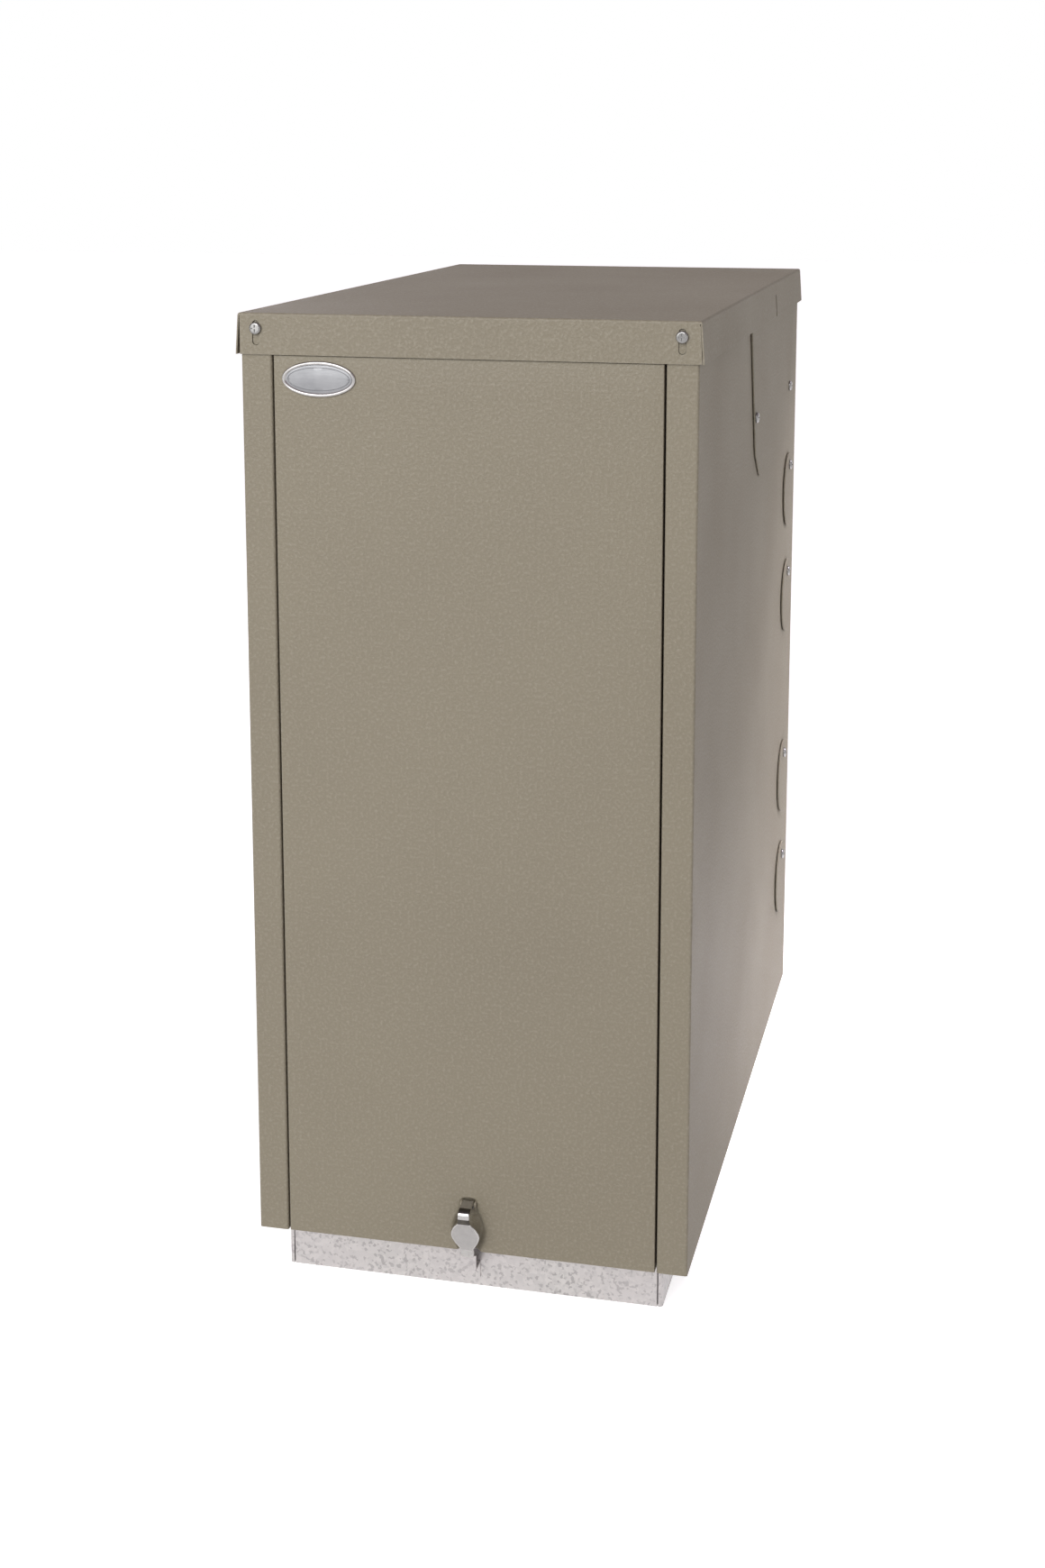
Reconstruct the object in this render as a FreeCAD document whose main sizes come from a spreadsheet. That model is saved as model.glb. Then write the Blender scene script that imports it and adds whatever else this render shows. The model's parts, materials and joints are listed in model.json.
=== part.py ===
import FreeCAD, Part
import math
import os
import Sketcher

# Outdoor oil boiler in a sheet-metal cabinet.
# Millimetres: X across, front at -Y, Z up from the ground under the plinth.

Vector = FreeCAD.Vector
Rotation = FreeCAD.Rotation
doc = FreeCAD.newDocument("oil_boiler")

# Driving sizes
dimensions = [
    ("casing_width", 390, "across the outside of the side panels"),
    ("casing_depth", 718, "front face to rear face of the casing"),
    ("casing_height", 865, "ground to the top of the lid"),
    ("plinth_height", 39, "ground to the underside of the casing"),
    ("panel_sheet", 1.2, "painted steel sheet"),
    ("panel_bend", 2.2, "outer radius of the painted sheet's bends"),
    ("rim_round", 0.5, "rounded rim of a pressed cover"),
    ("base_sheet", 1.5, "galvanised steel sheet"),
    ("fit_gap", 0.3, "assembly gap between neighbouring pieces"),
    ("run_gap", 0.05, "radial gap of a turning or sliding fit"),
    ("plinth_inset", 28.5, "casing side to the end of the plinth front"),
    ("rail_gap", 1.2, "plinth front's end to the rail"),
    ("rail_step", 5, "plinth front's end to the rail's outer face"),
    ("rail_bend", 3, "outside radius of the rail's turned-in corner"),
    ("plinth_setback", 13.5, "casing front to the plinth front"),
    ("rail_flange", 22, "turned-in flanges of the plinth rails"),
    ("pan_setback", 18, "casing front to the base pan"),
    ("pan_upstand", 24, "height of the base pan's edges"),
    ("web_foot", 30, "foot of the web under the base pan"),
    ("front_border", 27, "side panel's visible front return"),
    ("front_return", 16, "side panel's inner front return"),
    ("rear_border", 24, "side panel's rear return"),
    ("rear_corner", 3, "side panel's turned rear corner, which the rear return is welded to"),
    ("top_border", 16, "side panel's top return"),
    ("screw_radius", 2.4, "casing screw shank"),
    ("screw_clear", 0.1, "casing screw in its hole"),
    ("rear_screw_low", 40, "casing underside to the lowest rear screw"),
    ("rear_screw_drop", 50, "side panel's top to the highest rear screw"),
    ("screw_head_radius", 5.2, "casing screw head"),
    ("screw_head_height", 3, "casing screw head"),
    ("screw_length", 11, "casing screw shank length"),
    ("cross_width", 1.2, "cross slot in the screw head"),
    ("cross_depth", 1.4, "cross slot in the screw head"),
    ("lid_flange", 35, "height of the lid's edge"),
    ("lid_flare", 2.4, "how far the lid's side edges splay"),
    ("lid_side_gap", 0.6, "lid side edge to the side panel at the bend"),
    ("lid_end_gap", 0.8, "lid front and rear edge to the casing"),
    ("lid_slot_width", 6.4, "screw slots in the lid's edge"),
    ("lid_slot_length", 21, "screw slots in the lid's edge"),
    ("lid_slot_drop", 6.3, "lid top to the slot's upper end"),
    ("lid_screw_drop", 13, "lid top to the screw centre"),
    ("lid_screw_inset", 14, "casing side to the lid screw"),
    ("lid_notch_height", 22, "open notch in the lid's side edge"),
    ("flue_rear", 228, "casing rear to the flue centre"),
    ("flue_plate_lap", 5, "flue plate tucked up behind the lid edge"),
    ("flue_plate_top_half", 178, "half width of the flue plate at its top"),
    ("flue_plate_shoulder_half", 136, "half width at the shoulder"),
    ("flue_plate_shoulder_drop", 158, "lid top to the shoulder"),
    ("flue_plate_foot_half", 102, "half width at the lower edge"),
    ("flue_plate_foot_drop", 184, "lid top to the lower edge"),
    ("flue_plate_rim", 5, "overhang of the plate past its seat"),
    ("flue_opening_rim", 18, "plate edge to the opening behind it"),
    ("flue_screw_drop", 121, "lid top to the flue plate screws"),
    ("flue_screw_inset", 7, "sloping plate edge to its screw"),
    ("seat_step", 1, "seat behind a cover's rim"),
    ("cover_radius", 40, "pipe cover"),
    ("cover_rim", 4, "overhang of the pipe cover past its seat"),
    ("cover_rear", 70, "casing rear to the pipe cover centres"),
    ("cover_screw_rise", 27, "cover centre to its screw"),
    ("cover_hole_radius", 21.5, "pipe hole behind the cover"),
    ("cover_pitch", 119, "pipe covers of one pair"),
    ("cover_low_rise", 143, "casing underside to the lowest cover centre"),
    ("cover_high_drop", 53, "flue plate's lower edge to the top cover centre"),
    ("front_gap", 2.4, "front panel to the side panel"),
    ("front_top_gap", 0.8, "front panel to the lid's edge"),
    ("front_tray", 15, "depth of the front panel's turned edges"),
    ("dimple_radius", 19, "thumb recess in the front panel"),
    ("dimple_depth", 7, "thumb recess in the front panel"),
    ("dimple_low", 23, "casing underside to the recess's lower centre"),
    ("dimple_rise", 10, "between the recess's two centres"),
    ("stud_half", 120, "half the distance between the panel studs"),
    ("stud_drop", 24, "front panel's top to the studs"),
    ("stud_radius", 2, "panel stud neck"),
    ("stud_ball_radius", 3, "panel stud ball"),
    ("stud_reach", 15, "casing front to the stud's ball"),
    ("clip_wall", 1.8, "clip ring"),
    ("rail_setback", 19, "casing front to the front top rail"),
    ("rail_low", 75, "lid top to the rail's lower edge"),
    ("rail_high", 16, "lid top to the rail's upper edge"),
    ("rail_lip", 20, "front top rail's lower flange"),
    ("clip_length", 7, "clip in front of the rail"),
    ("badge_half_length", 32.4, "oval badge plate"),
    ("badge_half_height", 15.2, "oval badge plate"),
    ("badge_sheet", 2.2, "oval badge plate"),
    ("badge_round", 1.2, "rounded edge of the badge plate"),
    ("badge_inset", 39, "front panel's left edge to the badge centre"),
    ("badge_drop", 19, "front panel's top to the badge centre"),
    ("latch_pivot_rise", 12, "recess's upper centre to the latch pin"),
    ("latch_pivot_reach", 1, "latch pin in front of the casing"),
    ("latch_pin_radius", 1.5, "latch pin"),
    ("latch_barrel_radius", 3, "rolled eye of the lever"),
    ("latch_sheet", 2.2, "lever metal"),
    ("latch_bend_reach", 21, "how far the lever's bend stands out"),
    ("latch_bend_round", 2, "rounding of the lever's bends"),
    ("latch_bulge_reach", 15.5, "how far the thumb pad stands out"),
    ("latch_bulge_height", 21, "casing underside to the thumb pad centre"),
    ("latch_bulge_radius", 13.2, "thumb pad"),
    ("latch_tail_reach", 4.6, "how far the tail stands out"),
    ("latch_tail_drop", 6, "tail's end below the casing underside"),
    ("latch_tail_half", 6, "half width of the tail"),
    ("latch_neck_half", 5.3, "half width of the neck"),
    ("latch_ear", 1.5, "bracket sheet"),
    ("keeper_half", 7, "half width of the keeper"),
    ("keeper_reach", 2, "keeper's tongue in front of the casing"),
    ("keeper_leg_height", 22, "ground to the keeper's leg"),
    ("keeper_foot", 14, "keeper's foot on the plinth"),
    ("keeper_drop", 3, "casing underside to the keeper's tongue"),
    ("boiler_front_space", 250, "casing front to the boiler"),
    ("boiler_side_space", 50, "casing side to the boiler block"),
    ("boiler_base", 36, "casing underside to the boiler's underside"),
    ("boiler_headroom", 250, "lid top to the boiler's top"),
    ("condenser_before", 66, "secondary section's front to the flue centre"),
    ("condenser_behind", 85, "flue centre to the secondary section's rear"),
    ("shell_wall", 5, "boiler plate"),
    ("foot_inset", 33, "boiler side to the middle of its feet"),
    ("foot_half_width", 17, "boiler feet"),
    ("foot_end", 10, "boiler end to its feet"),
    ("foot_wall", 3, "boiler feet"),
    ("insulation_thick", 20, "jacket round the boiler"),
    ("burner_rise", 145, "boiler underside to the burner axis"),
    ("chamber_radius", 98, "combustion chamber"),
    ("chamber_rear_water", 35, "combustion chamber to the shell's rear"),
    ("upper_side_water", 40, "boiler side to the chamber with the baffles"),
    ("upper_inset", 30, "front and rear of the baffle chamber"),
    ("upper_rise", 130, "burner axis to the baffle chamber's floor"),
    ("throat_half_width", 55, "passage between the chambers"),
    ("throat_margin", 10, "baffle chamber's end to the passage"),
    ("throat_rise", 60, "burner axis to the passage's lower end"),
    ("port_height", 50, "gas port to the condenser"),
    ("port_drop", 25, "boiler top to the gas port"),
    ("port_inset", 5, "baffle chamber's side to the gas port"),
    ("baffle_sheet", 3, "baffle plates"),
    ("baffle_headroom", 45, "baffle plates to the boiler's top"),
    ("baffle_margin", 8, "chamber's end to the nearest baffle"),
    ("baffle_window_width", 45, "window in a baffle's edge"),
    ("baffle_window_height", 50, "window in a baffle's edge"),
    ("baffle_window_rise", 60, "baffle's foot to its window"),
    ("cleaning_margin", 15, "boiler side to the cleaning cover"),
    ("cleaning_end", 5, "shell's end to the cleaning cover"),
    ("cleaning_sheet", 10, "cleaning cover"),
    ("cleaning_inset", 16, "cover edge to its studs"),
    ("cleaning_stud_radius", 4, "cleaning cover studs"),
    ("hand_nut_radius", 13, "hand nuts of the cleaning cover"),
    ("hand_nut_height", 15, "hand nuts of the cleaning cover"),
    ("hand_nut_collar", 4, "collar under a hand nut"),
    ("hand_nut_step", 2, "collar past the hand nut's grip"),
    ("stud_end", 6, "stud past its nut"),
    ("flue_radius", 50, "flue bore"),
    ("flue_wall", 3, "flue tube"),
    ("spigot_height", 40, "condenser spigot"),
    ("flue_bend", 88, "flue elbow centre-line radius"),
    ("elbow_rise", 15, "spigot's end to the elbow's bend"),
    ("socket_gap", 6, "boiler top to the elbow's socket"),
    ("socket_collar", 8, "socket past the spigot's end"),
    ("flue_exit_clear", 2, "flue tube in the rear panel's hole"),
    ("drain_radius", 7, "condensate drain bore"),
    ("drain_wall", 2, "condensate drain spout"),
    ("drain_x", 40, "condensate drain from the centre"),
    ("drain_half", 14, "condensate drain's sump, half width"),
    ("drain_low", 8, "casing underside to the sump"),
    ("drain_spout", 20, "sump to the spout's end"),
    ("burner_plate_half", 112, "burner mounting plate"),
    ("burner_plate_sheet", 8, "burner mounting plate"),
    ("burner_stud_inset", 12, "mounting plate's edge to its studs"),
    ("burner_stud_radius", 5, "studs of the mounting plate"),
    ("burner_nut_radius", 9, "nuts of the mounting plate"),
    ("burner_nut_height", 8, "nuts of the mounting plate"),
    ("burner_stud_end", 5, "stud past its nut"),
    ("blast_radius", 45, "blast tube"),
    ("blast_wall", 3, "blast tube"),
    ("blast_front", 32, "boiler front to the tube's front end"),
    ("blast_rear", 45, "boiler front to the tube's rear end"),
    ("blast_flange", 62, "blast tube flange radius"),
    ("blast_flange_sheet", 8, "blast tube flange"),
    ("nozzle_line_radius", 6, "nozzle line"),
    ("nozzle_line_reach", 38, "boiler front to the nozzle line's front end"),
    ("nozzle_head_radius", 11.7, "nozzle head"),
    ("nozzle_head_back", 10, "nozzle head in front of the disc"),
    ("nozzle_head_lead", 8, "nozzle head past the disc"),
    ("nozzle_tip", 9, "nozzle's tapered tip"),
    ("nozzle_tip_radius", 3, "nozzle's tapered tip"),
    ("disc_reach", 20, "boiler front to the flame disc"),
    ("disc_sheet", 2, "flame disc"),
    ("electrode_radius", 2, "ignition electrodes"),
    ("electrode_x", 18, "ignition electrodes from the axis"),
    ("electrode_rise", 15, "ignition electrodes above the axis"),
    ("electrode_front", 28, "boiler front to the electrodes' front end"),
    ("electrode_lead", 20, "electrodes past the flame disc"),
    ("neck_clear", 4, "fan drum's neck behind the motor"),
    ("drum_radius", 84, "fan drum"),
    ("drum_wall", 7, "fan drum"),
    ("drum_half_width", 45, "fan drum"),
    ("drum_setback", 108, "boiler front to the fan axis"),
    ("inlet_radius", 46, "air inlet of the drum"),
    ("inlet_bar", 17, "half height of the bar across the air inlet"),
    ("wheel_radius", 60, "fan wheel"),
    ("wheel_gap", 8, "drum wall to the fan wheel's back plate"),
    ("wheel_plate", 3, "fan wheel's plates"),
    ("wheel_width", 51, "fan wheel"),
    ("wheel_ring", 5, "fan wheel's front ring"),
    ("hub_radius", 13, "fan wheel's hub"),
    ("hub_length", 42, "fan wheel's hub"),
    ("blade_height", 12, "fan blades"),
    ("blade_sheet", 1.6, "fan blades"),
    ("blade_inset", 0.4, "wheel's edge to its blades"),
    ("shaft_radius", 5, "motor shaft"),
    ("motor_radius", 43, "burner motor"),
    ("motor_length", 66, "burner motor"),
    ("motor_bevel", 8, "burner motor's end"),
    ("shaft_clear", 3, "motor shaft in the drum wall"),
    ("shaft_end", 10, "motor's end to its shaft"),
    ("pump_half", 27, "oil pump"),
    ("pump_gap", 15, "fan drum to the pump's near face"),
    ("pump_length", 50, "oil pump"),
    ("pump_collar", 16, "oil pump's collar"),
    ("pump_port", 9, "oil pump's port nut"),
    ("pump_port_height", 12, "oil pump's port nut"),
    ("coil_radius", 15, "solenoid coil on the pump"),
    ("coil_height", 34, "solenoid coil on the pump"),
    ("hood_side_gap", 6, "burner motor to the hood's outside"),
    ("hood_below", 120, "burner axis to the hood's lower edge"),
    ("hood_above", 122, "burner axis to the hood's upper edge"),
    ("hood_drum_gap", 26, "fan drum to the hood's front"),
    ("hood_sheet", 2.5, "burner hood"),
    ("hood_round", 16, "burner hood corners"),
    ("control_box_left", -10, "burner control box"),
    ("control_box_right", 82, "burner control box"),
    ("control_box_height", 28, "burner control box"),
    ("control_box_behind", 12, "fan axis to the control box's rear"),
    ("control_box_gap", 0.1, "fan drum to the control box"),
    ("control_box_front", 11, "hood front to the control box"),
    ("reset_radius", 9, "burner reset button"),
    ("reset_stem_radius", 4, "burner reset button stem"),
    ("reset_reach", 4, "reset button in front of the hood"),
    ("reset_travel", 5, "reset button to the control box"),
    ("reset_stem", 10, "reset button's stem in the control box"),
    ("reset_socket", 18, "stem's socket in the control box"),
    ("reset_clear", 0.6, "reset button in the hood"),
    ("louvre_left", 70, "hood louvres, left of the centre"),
    ("louvre_right", 30, "hood louvres, right of the centre"),
    ("louvre_drop", 75, "burner axis to the lowest louvre"),
    ("louvre_pitch", 12, "hood louvres"),
    ("louvre_height", 5, "hood louvres"),
    ("valve_x", 86, "oil valve and pump port from the centre"),
    ("oil_pipe_run", 48, "oil valve to the pump's port"),
    ("valve_length", 52, "oil valve"),
    ("valve_radius", 11, "oil valve"),
    ("valve_rise", 23, "casing underside to the valve axis"),
    ("valve_nut", 8, "oil valve's end nuts"),
    ("valve_nut_step", 2, "rear nut smaller than the front one"),
    ("valve_neck_radius", 6, "oil valve's neck"),
    ("valve_neck_rise", 2, "oil valve's neck"),
    ("valve_stem_radius", 2.5, "oil valve's stem"),
    ("valve_stem_rise", 4, "oil valve's stem past its neck"),
    ("valve_foot_half", 9, "oil valve's foot"),
    ("lever_hub_radius", 8, "oil valve's lever"),
    ("lever_half_width", 5, "oil valve's lever"),
    ("lever_length", 46, "oil valve's lever"),
    ("lever_sheet", 3, "oil valve's lever"),
    ("oil_pipe_radius", 5, "copper pipe from the valve to the pump"),
    ("oil_pipe_bend", 30, "its bend"),
    ("oil_pipe_clear", 1.5, "oil pipe in the hood"),
    ("panel_box_front", 48, "casing front to the control panel"),
    ("panel_box_depth", 102, "control panel"),
    ("panel_box_drop", 73, "lid top to the control panel's top"),
    ("panel_box_height", 102, "control panel"),
    ("knob_x", -95, "thermostat knob"),
    ("knob_radius", 22, "thermostat knob"),
    ("knob_depth", 18, "thermostat knob"),
    ("knob_shaft_radius", 4, "thermostat shaft"),
    ("knob_shaft_length", 16, "thermostat shaft behind the fascia"),
    ("knob_gap", 0.4, "knob to the fascia"),
    ("flute_radius", 3.4, "flutes round the knob"),
    ("flute_outset", 1.6, "knob's edge to a flute's centre"),
    ("flute_stop", 4, "knob's rear to the end of its flutes"),
    ("pointer_half", 1, "knob's pointer groove"),
    ("pointer_depth", 1, "knob's pointer groove"),
    ("pointer_start", 6, "knob's centre to its pointer groove"),
    ("switch_x", 20, "power switch"),
    ("switch_half_width", 12.5, "power switch rocker"),
    ("switch_half_height", 8.5, "power switch rocker"),
    ("switch_reach", 4, "rocker's ends in front of the fascia"),
    ("switch_dip", 1.5, "rocker's middle behind its ends"),
    ("switch_depth", 5, "rocker behind the fascia"),
    ("switch_swing_gap", 1.2, "rocker's ends to the fascia's hole"),
    ("limit_x", 105, "limit reset button"),
    ("limit_radius", 5, "limit reset button"),
    ("limit_reach", 6, "limit reset button in front of the fascia"),
    ("limit_depth", 10, "limit reset button behind the fascia"),
    ("gland_x", 60, "cable gland under the control panel"),
    ("gland_setback", 52, "fascia to the cable gland"),
    ("gland_radius", 10, "cable gland nut"),
    ("gland_dome", 8, "cable gland's cap"),
    ("gland_nut", 6, "cable gland nut height"),
    ("gland_thread", 6, "cable gland thread radius"),
    ("gland_bore", 4, "cable gland bore"),
    ("pipe_inset", 45, "shell side to the flow and return pipes"),
    ("pipe_radius", 11, "flow and return pipes"),
    ("pipe_wall", 1, "flow, return and oil pipes"),
    ("pipe_sleeve", 2, "pipe in the jacket's hole"),
    ("flow_drop", 55, "boiler top to the flow pipe"),
    ("return_rise", 55, "boiler underside to the return pipe"),
    ("fitting_radius", 15, "pipe fitting body"),
    ("fitting_setback", 8, "casing rear to the fitting's mouth"),
    ("fitting_length", 38, "pipe fitting"),
    ("fitting_nut", 18, "pipe fitting's nuts"),
    ("fitting_nut_length", 10, "pipe fitting's nuts"),
    ("fitting_nut_inset", 4, "pipe fitting's end to its nut"),
    ("fitting_socket", 24, "depth of the fitting's socket"),
    ("pipe_exit_radius", 21, "pipe holes in the rear panel"),
    ("cock_inset", 9, "boiler side to the drain cock"),
    ("cock_rise", 18, "boiler underside to the drain cock"),
    ("cock_radius", 7, "drain cock"),
    ("cock_length", 26, "drain cock"),
    ("cock_spout", 10, "drain cock's hose end"),
    ("cock_nut", 6, "drain cock's nut"),
    ("cock_nut_gap", 4, "boiler front to the drain cock's nut"),
    ("cock_bore", 3, "drain cock"),
    ("cock_key_half", 2.5, "drain cock's key"),
    ("cock_key_rise", 16, "drain cock's key"),
    ("trap_side_gap", 7.8, "side panel to the trap's cap"),
    ("trap_rear", 62, "casing rear to the trap's centre"),
    ("trap_radius", 27, "condensate trap"),
    ("trap_height", 108, "condensate trap"),
    ("trap_wall", 3, "condensate trap"),
    ("trap_cap", 2, "trap's cap past its body"),
    ("trap_cap_height", 16, "trap's cap"),
    ("trap_bevel", 4, "trap's lower edge"),
    ("trap_spout", 22, "trap's body to its spout's end"),
    ("trap_lap", 19, "condensate pipe over a spout"),
    ("trap_pipe_rise", 18, "casing underside to the condensate pipe"),
    ("trap_pipe_wall", 2.5, "condensate pipe"),
    ("trap_pipe_bend", 30, "condensate pipe's bend"),
]

sheet = doc.addObject("Spreadsheet::Sheet", "dims")
for row, (alias, number, note) in enumerate(dimensions, 1):
    sheet.set(f"A{row}", note)
    sheet.set(f"B{row}", str(number))
    sheet.setAlias(f"B{row}", alias)
doc.recompute()


class Size(float):
    """A length that carries the sheet formula it came from."""

    def __new__(cls, value, formula):
        size = super().__new__(cls, value)
        size.formula = formula
        return size

    def __add__(self, other):
        return joined(self, "+", other)

    def __radd__(self, other):
        return joined(other, "+", self)

    def __sub__(self, other):
        return joined(self, "-", other)

    def __rsub__(self, other):
        return joined(other, "-", self)

    def __mul__(self, other):
        return joined(self, "*", other)

    def __rmul__(self, other):
        return joined(other, "*", self)

    def __truediv__(self, other):
        return joined(self, "/", other)

    def __neg__(self):
        return joined(0, "-", self)


def formula_of(value):
    return value.formula if isinstance(value, Size) else f"({float(value)!r})"


def joined(left, sign, right):
    a = float(left)
    b = float(right)
    if sign == "+":
        value = a + b
    elif sign == "-":
        value = a - b
    elif sign == "*":
        value = a * b
    else:
        value = a / b
    return Size(value, f"({formula_of(left)} {sign} {formula_of(right)})")


class Dims:
    """Every sheet alias as a Size."""

    def __init__(self):
        for alias, _, _ in dimensions:
            setattr(self, alias, Size(sheet.get(alias), f"dims.{alias}"))


d = Dims()
pieces = []


def bind(thing, **sizes):
    """Tie properties to sheet formulas; a double underscore stands for a dot."""
    for name, value in sizes.items():
        thing.setExpression(name.replace("__", "."), formula_of(value))


def place(thing, at, rotation=None):
    if rotation is not None:
        thing.Placement = FreeCAD.Placement(Vector(0, 0, 0), rotation)
    bind(thing, Placement__Base__x=at[0], Placement__Base__y=at[1], Placement__Base__z=at[2])


def finish(piece, label):
    piece.Label = label
    pieces.append(piece)


# Building blocks
along = {"x": Rotation(Vector(0, 1, 0), 90), "y": Rotation(Vector(1, 0, 0), -90), "z": Rotation()}


def on_axis(axis, across, position):
    if axis == "x":
        return (position, across[0], across[1])
    if axis == "y":
        return (across[0], position, across[1])
    return (across[0], across[1], position)


def block(low, high):
    solid = doc.addObject("Part::Box", "Block")
    bind(solid, Length=high[0] - low[0], Width=high[1] - low[1], Height=high[2] - low[2])
    place(solid, low)
    return solid


def rod(axis, across, radius, start, stop):
    solid = doc.addObject("Part::Cylinder", "Rod")
    bind(solid, Radius=radius, Height=stop - start)
    place(solid, on_axis(axis, across, start), along[axis])
    return solid


def cone(axis, across, radius, end_radius, start, stop):
    solid = doc.addObject("Part::Cone", "Cone")
    bind(solid, Radius1=radius, Radius2=end_radius, Height=stop - start)
    place(solid, on_axis(axis, across, start), along[axis])
    return solid


def hexagon(axis, across, radius, start, stop):
    solid = doc.addObject("Part::Prism", "Hexagon")
    solid.Polygon = 6
    bind(solid, Circumradius=radius, Height=stop - start)
    place(solid, on_axis(axis, across, start), along[axis])
    return solid


def fuse(*solids):
    joint = doc.addObject("Part::MultiFuse", "Fuse")
    joint.Shapes = list(solids)
    joint.Refine = True
    return joint


def cut(base, *tools):
    result = doc.addObject("Part::Cut", "Cut")
    result.Base = base
    result.Tool = tools[0] if len(tools) == 1 else fuse(*tools)
    result.Refine = True
    return result


def common(first, second):
    result = doc.addObject("Part::MultiCommon", "Common")
    result.Shapes = [first, second]
    return result


def group(*solids):
    result = doc.addObject("Part::Compound", "Group")
    result.Links = list(solids)
    return result


def mirror(solid):
    result = doc.addObject("Part::Mirroring", "Mirror")
    result.Source = solid
    result.Normal = Vector(1, 0, 0)
    return result


def tube(axis, across, radius, wall, start, stop):
    bore = rod(axis, across, radius - wall, start - 1, stop + 1)
    return cut(rod(axis, across, radius, start, stop), bore)


def tray(low, high, wall, open_low=(0, 0, 0), open_high=(0, 0, 0)):
    """A box shell; a 1 in open_low or open_high leaves that side open."""
    inner_low = [low[i] - 1 if open_low[i] else low[i] + wall for i in range(3)]
    inner_high = [high[i] + 1 if open_high[i] else high[i] - wall for i in range(3)]
    return cut(block(low, high), block(inner_low, inner_high))


def sketch_in(body, plane):
    """An empty sketch on one of the body's own planes: xy, xz or yz."""
    role = plane.upper() + "_Plane"
    sketch = body.newObject("Sketcher::SketchObject", "Outline")
    support = [feature for feature in body.Origin.OriginFeatures if feature.Role == role][0]
    sketch.AttachmentSupport = (support, [""])
    sketch.MapMode = "FlatFace"
    return sketch


def pin_point(sketch, edge, end, point):
    for kind, value in (("DistanceX", point[0]), ("DistanceY", point[1])):
        index = sketch.addConstraint(Sketcher.Constraint(kind, -1, 1, edge, end, float(value)))
        if isinstance(value, Size):
            bind(sketch, **{f"Constraints[{index}]": value})


def draw_outline(sketch, corners):
    count = len(corners)
    spots = [Vector(float(corner[0]), float(corner[1]), 0) for corner in corners]
    for i in range(count):
        sketch.addGeometry(Part.LineSegment(spots[i], spots[(i + 1) % count]))
    for i in range(count):
        sketch.addConstraint(Sketcher.Constraint("Coincident", i, 2, (i + 1) % count, 1))
    for i in range(count):
        pin_point(sketch, i, 1, corners[i])


def prism(plane, corners, start, stop):
    """A straight-sided outline padded from start to stop along the plane's normal axis."""
    body = doc.addObject("PartDesign::Body", "Prism")
    sketch = sketch_in(body, plane)
    draw_outline(sketch, corners)
    bind(sketch, AttachmentOffset__Base__z=-stop if plane == "xz" else start)
    pad = body.newObject("PartDesign::Pad", "Pad")
    pad.Profile = sketch
    bind(pad, Length=stop - start)
    return body


def turned(profile, axis, at):
    """A profile of (radius, length) corners turned round its length axis."""
    body = doc.addObject("PartDesign::Body", "Turned")
    sketch = sketch_in(body, "xz")
    draw_outline(sketch, profile)
    revolution = body.newObject("PartDesign::Revolution", "Revolution")
    revolution.Profile = sketch
    revolution.ReferenceAxis = (sketch, ["V_Axis"])
    revolution.Angle = 360
    place(body, at, along[axis])
    return body


def round_edges(body, radius, wanted):
    """Fillet the edges of the body's last feature that wanted(edge) picks."""
    doc.recompute()
    base = body.Tip
    names = [f"Edge{i}" for i, edge in enumerate(base.Shape.Edges, 1) if wanted(edge)]
    fillet = body.newObject("PartDesign::Fillet", "Rounding")
    fillet.Base = (base, names)
    bind(fillet, Radius=radius)
    return body


def bend_edges(solid, radius, wanted):
    """Round the edges of a finished solid that wanted(edge) picks."""
    doc.recompute()
    edges = enumerate(solid.Shape.Edges, 1)
    rounded = doc.addObject("Part::Fillet", "Bends")
    rounded.Base = solid
    rounded.Edges = [(i, float(radius), float(radius)) for i, edge in edges if wanted(edge)]
    return rounded


def lies_at(edge, axis, position):
    """Whether the whole edge lies at one position along x, y or z."""
    box = edge.BoundBox
    low, high = {"x": (box.XMin, box.XMax), "y": (box.YMin, box.YMax), "z": (box.ZMin, box.ZMax)}[axis]
    return abs(low - position) < 0.01 and abs(high - position) < 0.01


def runs_along(edge, axis):
    direction = edge.Vertexes[-1].Point - edge.Vertexes[0].Point
    return direction.Length > 0 and abs(direction.normalize().dot(axis)) > 0.999


def bent_pipe(points, radius, bend, bore):
    """A pipe along straight runs joined by tangent arcs."""
    spots = [Vector(*[float(value) for value in point]) for point in points]
    edges = []
    last = spots[0]
    for i in range(1, len(spots) - 1):
        into = (spots[i] - spots[i - 1]).normalize()
        out = (spots[i + 1] - spots[i]).normalize()
        half = into.getAngle(out) / 2
        reach = float(bend) * math.tan(half)
        first = spots[i] - into * reach
        second = spots[i] + out * reach
        middle = spots[i] + (out - into).normalize() * float(bend) * (1 / math.cos(half) - 1)
        if (first - last).Length > 1e-6:
            edges.append(Part.LineSegment(last, first).toShape())
        edges.append(Part.Arc(first, middle, second).toShape())
        last = second
    edges.append(Part.LineSegment(last, spots[-1]).toShape())
    path = Part.Wire(edges)

    def swept(size):
        ring = Part.Wire([Part.makeCircle(float(size), spots[0], spots[1] - spots[0])])
        return path.makePipeShell([ring], True, True)

    solid = doc.addObject("Part::Feature", "Pipe")
    solid.Shape = swept(radius).cut(swept(bore))
    return solid


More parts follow.
